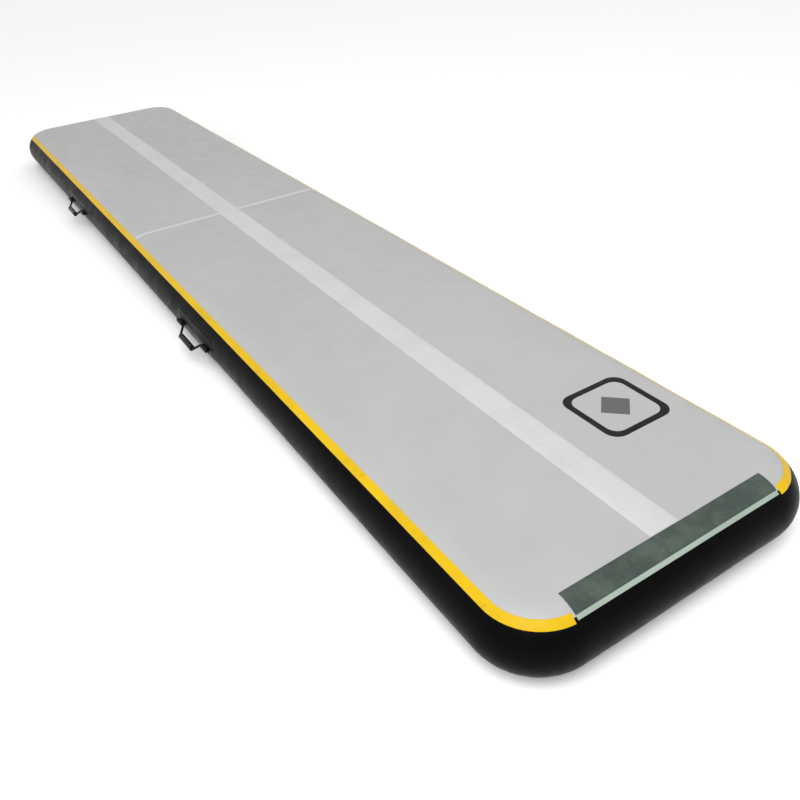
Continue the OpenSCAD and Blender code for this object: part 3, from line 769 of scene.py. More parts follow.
    def grow(self, name: str, tree: bpy.types.NodeTree, base: bpy.types.Mesh, shape: bpy.types.Object,
             slot: Slot, place: Matrix = Matrix.Identity(4), **inputs: Any) -> bpy.types.Object:
        """Runs a tree and keeps its result as a plain mesh.

        Args:
            name: the piece's name.
            tree: one of this class's trees.
            base: the line or surface that the tree reads, or an empty mesh.
            shape: the object that repeats, which is removed afterwards.
            slot: the finish.
            place: where the result goes in the frame.
            inputs: the tree's other inputs, by name.

        Returns:
            The finished piece.
        """
        worker = bpy.data.objects.new("worker", base)
        bpy.context.scene.collection.objects.link(worker)
        modifier = worker.modifiers.new("repeat", "NODES")
        modifier.node_group = tree
        values = {"Shape": shape, "Finish": slot.material(), **inputs}
        for item in tree.interface.items_tree:
            if item.in_out == "INPUT" and item.name in values:
                modifier[item.identifier] = values[item.name]
        ready = worker.evaluated_get(bpy.context.evaluated_depsgraph_get())
        mesh = bpy.data.meshes.new_from_object(ready)
        mesh.name = name
        mesh.transform(place)
        mesh.shade_smooth()
        bpy.data.objects.remove(worker)
        bpy.data.objects.remove(shape)
        piece = bpy.data.objects.new(name, mesh)
        bpy.context.scene.collection.objects.link(piece)
        return piece


REPEAT = Repeat()


# ---------------------------------------------------------------- fabric body


@dataclass
class FabricBody:
    """The four panels of coated fabric that hold the air.

    Attributes:
        shape: the surface that they follow.
        skin: thickness of the top and bottom skins.
        wall: thickness of the outer wall.
        seam_gap: gap between a skin and the wall, under the seam tape.
        step: spacing of the points round the edge.
        ring: spacing of the rings of points across the flat top.
    """

    shape: MatShape
    skin: float = 1.0 * MM
    wall: float = 0.9 * MM
    seam_gap: float = 0.5 * MM
    step: float = 7 * MM
    ring: float = 27 * MM

    def build(self) -> None:
        """Makes the skins and the walls."""
        self.skin_piece("top_skin_fabric", Slot.top_fabric, "top_skin", upside_down=False)
        self.skin_piece("bottom_skin_fabric", Slot.bottom_fabric, "bottom_skin", upside_down=True)
        self.side_wall()
        self.rear_panel()

    def seam_edge(self, way: float) -> float:
        """Returns the angle at which a panel stops beside the seam, above it or below it."""
        return self.shape.seam_angle + way * math.degrees(self.seam_gap / 2 / self.shape.edge_r)

    def skin_piece(self, name: str, slot: Slot, node: str, upside_down: bool) -> None:
        """Makes a skin: rings down the rounded edge, and rings that close on a line along the middle."""
        shape = self.shape
        s = np.linspace(0, shape.round, round(shape.round / self.step / 2) * 2, endpoint=False)
        angles = shape.steps(self.seam_edge(1), 90, 3.4)
        rim = shape.edge(s, angles)
        shares = np.linspace(0, 1, round(shape.across / self.ring) + 1)[1:, None, None]
        edge = rim.plan[-1]
        spine = np.stack([0 * edge[:, 0], np.clip(edge[:, 1], shape.across - shape.along,
                                                  shape.along - shape.across)], -1)
        plan = edge * (1 - shares) + spine * shares
        plan = np.concatenate([rim.plan, plan])
        out = np.broadcast_to(rim.out[-1], plan.shape)
        angle = np.concatenate([rim.angle, np.full(plan.shape[:2], 90.0)[len(angles):]])
        uv = plan + out * (np.radians(90 - angle) * shape.edge_r)[..., None]
        at = Stations(plan, out, angle, uv)
        if upside_down:
            at.angle = -at.angle
        lift = np.zeros(angle.shape)
        outer = shape.points(at, lift)
        deep = lift - self.skin
        inner = shape.points(at, deep)
        piece = shell(name, outer, inner, slot, uv, wrap=True, merge=1e-6, rims=(True, False))
        dress(piece, "mat", slot, node)

    def wall_piece(self, name: str, node: str, s: np.ndarray) -> None:
        """Makes a stretch of the outer wall."""
        shape = self.shape
        limit = self.seam_edge(-1)
        at = shape.edge(s, shape.steps(-limit, limit, 4.0))
        lift = np.zeros(at.angle.shape)
        inner = shape.points(at, lift - self.wall)
        piece = shell(name, shape.points(at, lift), inner, Slot.wall_fabric, at.uv)
        dress(piece, "mat", Slot.wall_fabric, node)

    def side_wall(self) -> None:
        """Makes the long wall, from one side of the rear panel round the front to its other side."""
        shape = self.shape
        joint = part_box("rear_wall_panel")[1].x + self.seam_gap
        start = shape.rear_start + (shape.across - shape.bend_r) + joint - shape.round
        self.wall_piece("side_wall_fabric", "outer_side_wall", shape.steps(start, -start, self.step))

    def rear_panel(self) -> None:
        """Makes the rear panel, whose points close in on the round hole for the valve boot."""
        shape = self.shape
        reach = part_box("rear_wall_panel")[1].x
        limit = self.seam_edge(-1)
        boot_low, boot_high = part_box("valve_boot")
        centre = (boot_low.x + boot_high.x) / 2
        hole = (boot_high.x - boot_low.x) / 2
        top = shape.edge_r * math.radians(limit)
        turn = np.linspace(0, math.tau, 160, endpoint=False)
        ways = np.stack([np.cos(turn), np.sin(turn)], -1)
        sides = np.where(ways[:, 0] > 0, reach - centre, reach + centre)
        sides = sides / np.maximum(np.abs(ways[:, 0]), 1e-9)
        to_border = np.minimum(sides, top / np.maximum(np.abs(ways[:, 1]), 1e-9))
        drop = np.sqrt(1 - (hole * ways[:, 1] / shape.edge_r) ** 2)
        rise = shape.edge_r * np.arctan2(hole * ways[:, 1] / shape.edge_r, drop)
        near_rim = np.stack([hole * ways[:, 0], rise], -1)
        border = ways * to_border[:, None]
        shares = np.linspace(0, 1, 18)[:, None, None] ** 1.3
        flat = near_rim * (1 - shares) + border * shares
        plan = np.stack([centre + flat[..., 0], np.full(flat.shape[:2], shape.along)], -1)
        at = shape.over(plan, (0.0, 1.0), np.degrees(flat[..., 1] / shape.edge_r))
        at.uv = flat
        lift = np.zeros(at.angle.shape)
        piece = shell("rear_panel_fabric", shape.points(at, lift), shape.points(at, lift - self.wall),
                      Slot.wall_fabric, at.uv, wrap=True)
        dress(piece, "mat", Slot.wall_fabric, "rear_wall_panel")


# ---------------------------------------------------------------- tapes and markings


@dataclass
class SeamTapes:
    """Tapes welded over the seams, and over the joints at the ends of the rear panel.

    Attributes:
        shape: the surface that they follow.
        glue: height of their undersides.
        thickness: thickness of a tape.
        width: width of a seam tape.
        gap: space between the end of a tape and the next piece.
        step: spacing of the points along a tape.
    """

    shape: MatShape
    glue: float = 0.1 * MM
    thickness: float = 0.6 * MM
    width: float = 25 * MM
    gap: float = 2 * MM
    step: float = 7 * MM

    def build(self) -> None:
        """Makes the tapes."""
        shape = self.shape
        half = math.degrees(self.width / 2 / shape.edge_r)
        angles = edged(shape.steps(shape.seam_angle - half, shape.seam_angle + half, 1.8), 0.4)
        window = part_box("connector_backing")[1].x + self.gap
        s = edged(shape.steps(window, shape.round - window, self.step), 0.8 * MM)
        top = self.tape("top_seam_tape_band", shape.edge(s, angles), Slot.yellow_tape, False)
        dress(top, "mat", Slot.yellow_tape, "top_seam_tape")
        s = np.linspace(0, shape.round, round(shape.round / self.step), endpoint=False)
        under = self.tape("bottom_seam_tape_band", shape.edge(s, -angles[::-1]), Slot.black_tape, True)
        dress(under, "mat", Slot.black_tape, "bottom_seam_tape")
        self.joints(shape.seam_angle - half - math.degrees(self.gap / shape.edge_r))

    def tape(self, name: str, at: Stations, slot: Slot, wrap: bool) -> bpy.types.Object:
        """Makes one tape."""
        return self.shape.layer(name, at, self.glue, self.glue + self.thickness, slot, wrap)

    def joints(self, reach: float) -> None:
        """Makes the two upright tapes on the rear wall, as one piece."""
        shape = self.shape
        low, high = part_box("wall_joint_tapes")
        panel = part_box("rear_wall_panel")[1].x
        half = high.x - panel
        made = []
        for side in (-1, 1):
            xs = edged(shape.steps(side * panel - half, side * panel + half, 6 * MM), 0.6 * MM)
            rows = edged(shape.steps(-reach, reach, 4.0), 0.4)
            x, angle = np.meshgrid(xs, rows)
            at = shape.over(np.stack([x, np.full(x.shape, shape.along)], -1), (0.0, 1.0), angle)
            at.uv = np.stack([x, np.radians(angle) * shape.edge_r], -1)
            made.append(self.tape("rear_joint_tape_bands", at, Slot.black_tape, False))
        dress(joined(made), "mat", Slot.black_tape, "wall_joint_tapes")


def joined(pieces: list[bpy.types.Object]) -> bpy.types.Object:
    """Returns several pieces made into the first one."""
    with bpy.context.temp_override(active_object=pieces[0], selected_editable_objects=pieces):
        bpy.ops.object.join()
    return pieces[0]


@dataclass
class Markings:
    """Welded films on the top: the stripe, the line across and the generic square mark.

    Attributes:
        shape: the surface that they follow.
        glue: height of their undersides.
        thickness: thickness of the film.
        corner_r: plan radius of the mark's corners.
        border: width of the mark's border.
        step: spacing of the points.
    """

    shape: MatShape
    glue: float = 0.1 * MM
    thickness: float = 0.45 * MM
    corner_r: float = 42 * MM
    border: float = 20 * MM
    step: float = 14 * MM

    def build(self) -> None:
        """Makes the films."""
        self.stripe()
        self.cross_line()
        self.mark()

    def film(self, name: str, at: Stations, slot: Slot, wrap: bool = False) -> bpy.types.Object:
        """Makes one film."""
        return self.shape.layer(name, at, self.glue, self.glue + self.thickness, slot, wrap)

    def strip(self, name: str, start: float, length: float, low: float, high: float,
              along_y: bool, way: float, foot: float) -> bpy.types.Object:
        """Makes a strip that runs over the flat top and down over the rounded edge.

        Args:
            name: the piece's name.
            start: where it begins along its run.
            length: where the flat top ends along its run, in the direction way.
            low: lower border across.
            high: upper border across.
            along_y: True if it runs along Y.
            way: -1 or 1, the direction in which it runs.
            foot: angle at which it ends on the rounded edge.
        """
        shape = self.shape
        run = edged(shape.steps(start, way * length, self.step), 0.8 * MM)[:-1]
        down = edged(shape.steps(90, foot, 3.0), 0.4)[2:]
        run = np.concatenate([run, np.full(len(down), way * length)])
        angle = np.concatenate([np.full(len(run) - len(down), 90.0), down])
        across = edged(shape.steps(low, high, self.step), 0.6 * MM)
        r, c = np.meshgrid(run, across, indexing="ij")
        plan = np.stack([c, r] if along_y else [r, c], -1)
        out = (0.0, way) if along_y else (way, 0.0)
        at = shape.over(plan, out, np.repeat(angle[:, None], len(across), 1))
        return self.film(name, at, Slot.marking_film)

    def stripe(self) -> None:
        """Makes the stripe along the middle."""
        low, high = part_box("centre_stripe")
        piece = self.strip("centre_stripe_film", low.y, self.shape.along, low.x, high.x, True, 1.0,
                           self.foot(low))
        dress(piece, "mat", Slot.marking_film, "centre_stripe")

    def foot(self, low: Vector) -> float:
        """Returns the angle on the rounded edge of a film's lowest point."""
        return math.degrees(math.asin((low.z - self.shape.edge_r) / (self.shape.edge_r + self.glue)))

    def cross_line(self) -> None:
        """Makes the line across, on both sides of the stripe."""
        low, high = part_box("cross_line")
        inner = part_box("centre_stripe")[1].x + 0.5 * MM
        halves = [
            self.strip("cross_line_film", side * inner, self.shape.across, low.y, high.y, False, side,
                       self.foot(low))
            for side in (-1.0, 1.0)
        ]
        dress(joined(halves), "mat", Slot.marking_film, "cross_line")

    def mark(self) -> None:
        """Makes the mark: a square border with round corners, and a diamond inside it."""
        low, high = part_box("mark_border_square")
        centre = np.array([(low.x + high.x) / 2, (low.y + high.y) / 2])
        half = (high.x - low.x) / 2
        inner_half = half - self.border
        inner_r = self.corner_r * inner_half / half
        inner, outer = self.ring(inner_half, inner_r), self.ring(half, self.corner_r)
        shares = np.array([0, 0.04, 0.35, 0.65, 0.96, 1.0])[:, None, None]
        plan = centre + inner * (1 - shares) + outer * shares
        border = self.film("mark_border_film", self.shape.over(plan, (0.0, 1.0), np.array(90.0)),
                           Slot.dark_mark_film, wrap=True)
        dress(border, "mat", Slot.dark_mark_film, "mark_border_square")
        low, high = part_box("mark_diamond")
        tip = (high.x - low.x) / 2
        side = edged(np.linspace(-0.5, 0.5, 8), 0.012)
        u, v = np.meshgrid(side, side)
        plan = centre + tip * np.stack([u - v, u + v], -1)
        diamond = self.film("mark_diamond_film", self.shape.over(plan, (0.0, 1.0), np.array(90.0)),
                            Slot.grey_mark_film)
        dress(diamond, "mat", Slot.grey_mark_film, "mark_diamond")

    def ring(self, half: float, r: float, per_side: int = 16, per_corner: int = 8) -> np.ndarray:
        """Returns the points of a square outline with round corners."""
        flat = half - r
        points: list[tuple[float, float]] = []
        for cx, cy, start in ((1, 1, 0), (-1, 1, 90), (-1, -1, 180), (1, -1, 270)):
            points += arc((cx * flat, cy * flat), r, start, start + 90, per_corner)
            turn = math.radians(start + 90)
            head = (cx * flat + r * math.cos(turn), cy * flat + r * math.sin(turn))
            way = (-math.sin(turn) * 2 * flat, math.cos(turn) * 2 * flat)
            points += [(head[0] + way[0] * k / per_side, head[1] + way[1] * k / per_side)
                       for k in range(1, per_side)]
        return np.array(points)


@dataclass
class Connector:
    """The connector strip over the front end: loop tape sewn on a pale backing.

    Attributes:
        shape: the surface that it follows.
        glue: height of the backing's underside.
        backing: thickness of the backing.
        ground: thickness of the woven ground of the loop tape, under its loops.
        seam_in: distance of the sewing from the tape's edge.
        pitch: distance from stitch to stitch.
        density: loops on a square metre.
    """

    shape: MatShape
    glue: float = 0.1 * MM
    backing: float = 0.6 * MM
    ground: float = 0.9 * MM
    seam_in: float = 2.5 * MM
    pitch: float = 3.2 * MM
    density: float = 1.75e5

    def build(self) -> None:
        """Makes the backing, the tape, its loops and its stitches."""
        shape = self.shape
        top = self.glue + self.backing
        base = shape.layer("connector_backing_film", self.front("connector_backing", 2.0), self.glue, top,
                           Slot.connector_base)
        dress(base, "mat", Slot.connector_base, "connector_backing")
        at = self.front("connector_loop_tape", 1.5)
        tape = shape.layer("loop_tape_ground", at, top, top + self.ground, Slot.loop_tape, feather=0.5)
        dress(tape, "mat", Slot.loop_tape, "connector_loop_tape")
        self.loops(at, top + self.ground)
        self.stitches(at, top + self.ground)

    def front(self, node: str, rows: float) -> Stations:
        """Returns the places on the front end that a node covers."""
        shape = self.shape
        low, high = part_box(node)
        out = (shape.edge_r - low.z) / (low.y + shape.along)
        foot = math.degrees(math.atan(out))
        xs = edged(shape.steps(low.x, high.x, 9 * MM), 0.6 * MM)
        x, angle = np.meshgrid(xs, edged(shape.steps(foot, 90, rows), 0.4))
        return shape.over(np.stack([x, np.full(x.shape, -shape.along)], -1), (0.0, -1.0), angle)

    def loops(self, at: Stations, height: float) -> None:
        """Scatters the soft loops of the tape."""
        inside = Stations(at.plan[1:-1, 1:-1], at.out[1:-1, 1:-1], at.angle[1:-1, 1:-1], at.uv[1:-1, 1:-1])
        points = self.shape.points(inside, np.full(inside.angle.shape, height))
        rows, cols = points.shape[:2]
        surface = bpy.data.meshes.new("loop_tape_surface")
        faces = grid_faces(rows, cols)
        surface.from_pydata(points.reshape(-1, 3).tolist(), [], faces)
        if surface.polygons[0].normal.z < 0:
            surface.flip_normals()
        turn = np.linspace(-0.25, math.pi + 0.25, 5)
        line = np.stack([0.55 * MM * np.cos(turn), 0 * turn, 0.45 * MM * np.sin(turn)], -1)
        loop = tube("loop", line, 0.09 * MM, 3, Slot.loop_tape)
        piece = REPEAT.grow("loop_tape_pile", REPEAT.pile(), surface, loop, Slot.loop_tape,
                            Density=self.density, Seed=7)
        dress(piece, "mat", Slot.loop_tape)

    def stitches(self, at: Stations, height: float) -> None:
        """Sews the tape down round its border."""
        shape = self.shape
        half = at.plan[0, -1, 0] - self.seam_in
        foot = at.angle[0, 0] + math.degrees(self.seam_in / shape.edge_r)
        head = 90 - math.degrees(self.seam_in / shape.edge_r)
        up = shape.steps(foot, head, 3.0)
        across = shape.steps(-half, half, 12 * MM)
        x = np.concatenate([across, np.full(len(up), half), across[::-1], np.full(len(up), -half)])
        angle = np.concatenate([np.full(len(across), foot), up, np.full(len(across), head), up[::-1]])
        line = shape.over(np.stack([x, np.full(x.shape, -shape.along)], -1), (0.0, -1.0), angle)
        points = shape.points(line, np.full(x.shape, height + 0.1 * MM))
        normals = shape.points(line, np.full(x.shape, height + 1.1 * MM)) - points
        mesh = bpy.data.meshes.new("sewing_line")
        count = len(points)
        mesh.from_pydata(points.tolist(), [(k, (k + 1) % count) for k in range(count)], [])
        mesh.attributes.new("up", "FLOAT_VECTOR", "POINT").data.foreach_set(
            "vector", (normals / MM).astype(np.float32).ravel())
        bow = np.linspace(-1, 1, 6)
        thread = np.stack([0.42 * self.pitch * bow, 0 * bow, 0.35 * MM * (1 - bow ** 4) - 0.1 * MM], -1)
        stitch = tube("stitch", thread, 0.28 * MM, 6, Slot.loop_tape)
        piece = REPEAT.grow("loop_tape_stitches", REPEAT.stitches(), mesh, stitch, Slot.loop_tape,
                            Pitch=self.pitch)
        dress(piece, "mat", Slot.loop_tape)


# ---------------------------------------------------------------- cords and handles


def tube(name: str, line: np.ndarray, radius: Any, sides: int, slot: Slot,
         place: Matrix = Matrix.Identity(4)) -> bpy.types.Object:
    """Makes a tube with closed ends along a line that lies in one plane or bends gently.

    Args:
        name: the piece's name.
        line: the points of its middle.
        radius: one radius, or one for each point and side.
        sides: number of facets round the tube.
        slot: the finish.
        place: where it goes in the frame.
    """
    way = np.gradient(line, axis=0)
    way /= np.linalg.norm(way, axis=1)[:, None]
    aside = np.array([1.3e-5, 2.1e-5, 1.7e-5])
    plane = np.cross(way[0], line[-1] - line[0] + aside + np.cross(way[0], way[-1]))
    bends = np.cross(way[0], way[len(way) // 3])
    up = bends if np.linalg.norm(bends) > 1e-3 else plane
    if np.linalg.norm(up) < 1e-9:
        up = np.array([0.0, 0.0, 1.0])
    up = up / np.linalg.norm(up)
    side = np.cross(up, way)
    side /= np.linalg.norm(side, axis=1)[:, None]
    rise = np.cross(way, side)
    turn = np.linspace(0, math.tau, sides, endpoint=False)
    r = np.broadcast_to(np.asarray(radius, float), (len(line), sides))[..., None]
    round_it = np.cos(turn)[:, None] * side[:, None] + np.sin(turn)[:, None] * rise[:, None]
    rings = line[:, None] + r * round_it
    length = np.concatenate([[0], np.cumsum(np.linalg.norm(np.diff(line, axis=0), axis=1))])
    uv = np.stack(np.broadcast_arrays(turn[None] / math.tau, length[:, None]), -1)
    points = np.concatenate([rings.reshape(-1, 3), line[:1], line[-1:]])
    uv = np.concatenate([uv.reshape(-1, 2), [[0.5, 0.0], [0.5, length[-1]]]])
    count = len(line) * sides
    last = count - sides
    faces: list[tuple[int, ...]] = list(grid_faces(len(line), sides, 0, True))
    faces += [((k + 1) % sides, k, count) for k in range(sides)]
    faces += [(last + k, last + (k + 1) % sides, count + 1) for k in range(sides)]
    return new_piece(name, moved(points, place), faces, slot, uv)


@dataclass
class Handle:
    """One carry handle: a grip on a cord that turns in two rubber tunnels on a patch.

    Local axes: X out of the side wall, Y along the mat, the origin on the line that the cord turns on.

    Attributes:
        name: which handle it is, such as front_left.
        shape: the surface that its patch follows.
        pivot: its turning line's middle.
        cord_r: radius of the cord.
        grip_r: radius of the grip.
        grip_l: length of the grip.
        reach: distance from the turning line to the middle of the grip.
        droop: how far it hangs below the level, in degrees.
        leg_angle: angle of its legs to the turning line, in degrees.
        bend_r: radius of the cord's bends.
        tunnel_r: outer radius of a tunnel.
        clearance: gap between the cord and what it goes through.
        tunnel_l: length of a tunnel.
        patch_corner: radius of the patch's corners.
        rings: number of raised rings on the grip.
        ring_pitch: distance from ring to ring.
    """

    name: str
    shape: MatShape
    pivot: Vector
    cord_r: float = 4.5 * MM
    grip_r: float = 11 * MM
    grip_l: float = 115 * MM
    reach: float = 34 * MM
    droop: float = 40.0
    leg_angle: float = 50.0
    bend_r: float = 16 * MM
    tunnel_r: float = 8.1 * MM
    clearance: float = 0.1 * MM
    tunnel_l: float = 36 * MM
    patch_corner: float = 22 * MM
    rings: int = 15
    ring_pitch: float = 6 * MM

    def __post_init__(self) -> None:
        """Works out the handle's places."""
        self.body = f"handle_{self.name}"
        low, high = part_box(f"handle_cord_{self.name}")
        self.cord_half = (high.y - low.y) / 2
        turned = Matrix.Rotation(math.pi if self.pivot.x < 0 else 0.0, 4, "Z")
        self.fixed = Matrix.Translation(self.pivot) @ turned
        self.hung = self.fixed @ Matrix.Rotation(math.radians(self.droop), 4, "Y")
        self.leg = ((self.reach - 2 * self.bend_r * (1 - math.cos(math.radians(self.leg_angle))))
                    / math.sin(math.radians(self.leg_angle)))

    def build(self) -> None:
        """Makes the handle's pieces."""
        self.patch()
        self.tunnels()
        self.cord()
        self.grip()
        self.ferrules()

    def patch(self) -> None:
        """Makes the patch, a rounded oblong welded to the wall, with a raised weld line near its border."""
        node = f"handle_patch_{self.name}"
        low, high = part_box(node)
        half_y, shape = (high.y - low.y) / 2, self.shape
        half_z = shape.edge_r * math.asin((high.z - low.z) / 2 / (shape.edge_r + 1.1 * MM))
        corner = self.patch_corner
        outline = np.array([
            point
            for cx, cy, start in ((1, 1, 0), (-1, 1, 90), (-1, -1, 180), (1, -1, 270))
            for point in arc((cx * (half_y - corner), cy * (half_z - corner)), corner, start, start + 90, 10)
        ])
        outline = respaced(outline, 150)
        shares = np.array([1, 0.985, 0.955, 0.935, 0.915, 0.8, 0.6, 0.4, 0.2, 0.0])
        lifts = np.array([0.4, 0.9, 1.0, 1.45, 1.0, 1.0, 1.0, 1.0, 1.0, 1.0]) * MM
        flat = outline * shares[:, None, None]
        side = math.copysign(1.0, self.pivot.x)
        plan = np.stack([np.full(flat.shape[:2], side * shape.across), self.pivot.y + flat[..., 0]], -1)
        at = shape.over(plan, (side, 0.0), np.degrees(flat[..., 1] / shape.edge_r))
        at.uv = flat
        calm = np.full(at.angle.shape, 0.1 * MM)
        piece = shell(f"handle_patch_fabric_{self.name}", shape.points(at, calm + lifts[:, None]),
                      shape.points(at, calm), Slot.patch_fabric, flat, wrap=True, merge=1e-6,
                      rims=(True, False))
        dress(piece, "mat", Slot.patch_fabric, node)

    def tunnels(self) -> None:
        """Makes the two moulded tunnels, each a tube on a curved pad."""
        node = f"handle_tunnels_{self.name}"
        low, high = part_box(node)
        far = (high.y - low.y) / 2
        near = far - self.tunnel_l
        middle = -(abs(self.pivot.x) - self.shape.across)
        pad_in, pad_t, half_pad = self.shape.edge_r + 1.2 * MM, 1.5 * MM, 11.0
        web = 0.8 * self.tunnel_r
        meets = math.degrees(math.asin(web / (pad_in + pad_t)))
        round_from = 180 - math.degrees(math.asin(0.8))
        outline = arc((middle, 0), pad_in, half_pad, -half_pad, 12)
        outline += arc((middle, 0), pad_in + pad_t, -half_pad, -meets, 5)
        outline += arc((0, 0), self.tunnel_r, -round_from, round_from, 36)
        outline += arc((middle, 0), pad_in + pad_t, meets, half_pad, 5)
        bore = arc((0, 0), self.cord_r + self.clearance, 0, 345, 23)
        both = [self.prism(f"handle_tunnel_mouldings_{self.name}", outline, bore, *span)
                for span in ((near, far), (-far, -near))]
        piece = joined(both)
        bevel = piece.modifiers.new("soft_edges", "BEVEL")
        bevel.width, bevel.segments, bevel.limit_method = 0.5 * MM, 2, "ANGLE"
        bevel.angle_limit = math.radians(50)
        dress(piece, "mat", Slot.moulded_rubber, node)

    def prism(self, name: str, outline: list, bore: list, low: float, high: float) -> bpy.types.Object:
        """Makes an outline with a hole in it, drawn in X and Z, into a solid from low to high along Y."""
        loops = [outline, bore]
        flat = [Vector((x, z, 0)) for loop in loops for x, z in loop]
        count = len(flat)
        points = np.array([(p.x, y, p.y) for y in (low, high) for p in flat])
        fill = tessellate_polygon([[Vector((x, z, 0)) for x, z in loop] for loop in loops])
        faces: list[tuple[int, ...]] = [tuple(t) for t in fill]
        faces += [tuple(count + k for k in reversed(t)) for t in fill]
        first = 0
        for loop in loops:
            n = len(loop)
            faces += [(first + k, first + (k + 1) % n, count + first + (k + 1) % n, count + first + k)
                      for k in range(n)]
            first += n
        piece = new_piece(name, moved(points, self.fixed), faces, Slot.moulded_rubber)
        work = bmesh.new()
        work.from_mesh(piece.data)
        bmesh.ops.recalc_face_normals(work, faces=work.faces)
        work.to_mesh(piece.data)
        work.free()
        piece.data.set_sharp_from_angle(angle=SHARP_EDGE)
        return piece

    def route(self, step: float) -> np.ndarray:
        """Returns the middle of the cord, from one end to the other, in the handle's own plane."""
        bend = self.bend_r * math.radians(self.leg_angle)
        arch = self.grip_l / 2 + 2 * self.bend_r * math.sin(math.radians(self.leg_angle))
        arch += self.leg * math.cos(math.radians(self.leg_angle))
        end = self.cord_half - arch
        legs = [(end, 0), (bend, -1), (self.leg, 0), (bend, 1), (self.grip_l, 0),
                (bend, 1), (self.leg, 0), (bend, -1), (end, 0)]
        stops = np.cumsum([0] + [length for length, _ in legs])
        s = np.linspace(0, stops[-1], round(stops[-1] / step) + 1)
        turned = np.cumsum([0] + [length * turn / self.bend_r for length, turn in legs])
        heading = np.interp(s, stops, turned)
        middle = (heading[1:] + heading[:-1]) / 2
        x = np.concatenate([[0], np.cumsum(-np.sin(middle) * np.diff(s))])
        y = np.concatenate([[0], np.cumsum(np.cos(middle) * np.diff(s))])
        return np.stack([x, y - y[-1] / 2, 0 * x], -1)

    def cord(self) -> None:
        """Makes the cord, with the crossing strands of its braided cover."""
        line, sides, strands, lay = self.route(1.6 * MM), 32, 8, 26 * MM
        s = np.arange(len(line))[:, None] * (1.6 * MM) * math.tau / lay
        turn = np.linspace(0, math.tau, sides, endpoint=False)[None]
        one, other = (np.cos(strands / 2 * turn + way * s * strands / 2) for way in (1, -1))
        radius = self.cord_r - 0.28 * MM + 0.28 * MM * np.maximum(one, other)
        node = f"handle_cord_{self.name}"
        piece = tube(f"handle_cord_braid_{self.name}", line, radius, sides, Slot.handle_rope, self.hung)
        dress(piece, self.body, Slot.handle_rope, node)

    def grip(self) -> None:
        """Makes the glossy grip and the raised rings round it."""
        half, bore, r = self.grip_l / 2, self.cord_r + 0.1 * MM, self.grip_r
        belly = [(r - 0.9 * MM * (abs(t) ** 3), t * (half - 5 * MM)) for t in np.linspace(-1, 1, 25)]
        collar = 1.6 * MM
        profile = [(bore, -half)] + arc((r - collar, -half + collar), collar, -90, 0)
        profile += belly + arc((r - collar, half - collar), collar, 0, 90) + [(bore, half)]
        lie = self.hung @ Matrix.Translation((self.reach, 0, 0)) @ Matrix.Rotation(-math.pi / 2, 4, "X")
        body = lathe(f"handle_grip_body_{self.name}", profile, Slot.grip_rubber, lie)
        dress(body, self.body, Slot.grip_rubber, f"handle_grip_{self.name}")
        ring = lathe("ring", [(r - 0.55 * MM + 0.5 * MM * math.cos(a), 0.9 * MM * math.sin(a))
                              for a in np.linspace(0, math.tau, 8, endpoint=False)],
                     Slot.grip_rubber, Matrix.Identity(4), 40)
        start = Matrix.Translation((0, 0, -(self.rings - 1) * self.ring_pitch / 2))
        rings = REPEAT.grow(f"handle_grip_rings_{self.name}", REPEAT.row(), bpy.data.meshes.new("none"), ring,
                            Slot.grip_rubber, lie @ start, Count=self.rings, Radius=0.0, Turn=0.0,
                            Rise=self.ring_pitch)
        dress(rings, self.body, Slot.grip_rubber)

    def ferrules(self) -> None:
        """Makes the two end ferrules, with two crimped grooves each."""
        node = f"handle_ferrules_{self.name}"
        low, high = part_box(node)
        r, bore = (high.z - low.z) / 2, self.cord_r + 0.1 * MM
        made = []
        for way in (-1, 1):
            length, soft = 9 * MM, 0.8 * MM
            profile = [(bore, 0.0)] + arc((r - soft, soft), soft, -90, 0)
            for groove in (3 * MM, 5.6 * MM):
                profile += [(r, groove - 0.6 * MM), (r - 0.5 * MM, groove - 0.2 * MM),
                            (r - 0.5 * MM, groove + 0.2 * MM), (r, groove + 0.6 * MM)]
            profile += arc((r - soft, length - soft), soft, 0, 90) + [(bore, length)]
            place = self.fixed @ Matrix.Rotation(-way * math.pi / 2, 4, "X")
            place = place @ Matrix.Translation((0, 0, self.cord_half - length))
            made.append(lathe(f"handle_ferrule_caps_{self.name}", profile, Slot.ferrule_plastic, place, 48))
        dress(joined(made), self.body, Slot.ferrule_plastic, node)


def respaced(loop: np.ndarray, count: int) -> np.ndarray:
    """Returns a closed outline as count evenly spaced points."""
    closed = np.concatenate([loop, loop[:1]])
    length = np.concatenate([[0], np.cumsum(np.linalg.norm(np.diff(closed, axis=0), axis=1))])
    at = np.linspace(0, length[-1], count, endpoint=False)
    return np.stack([np.interp(at, length, closed[:, k]) for k in range(2)], -1)


# ---------------------------------------------------------------- valve


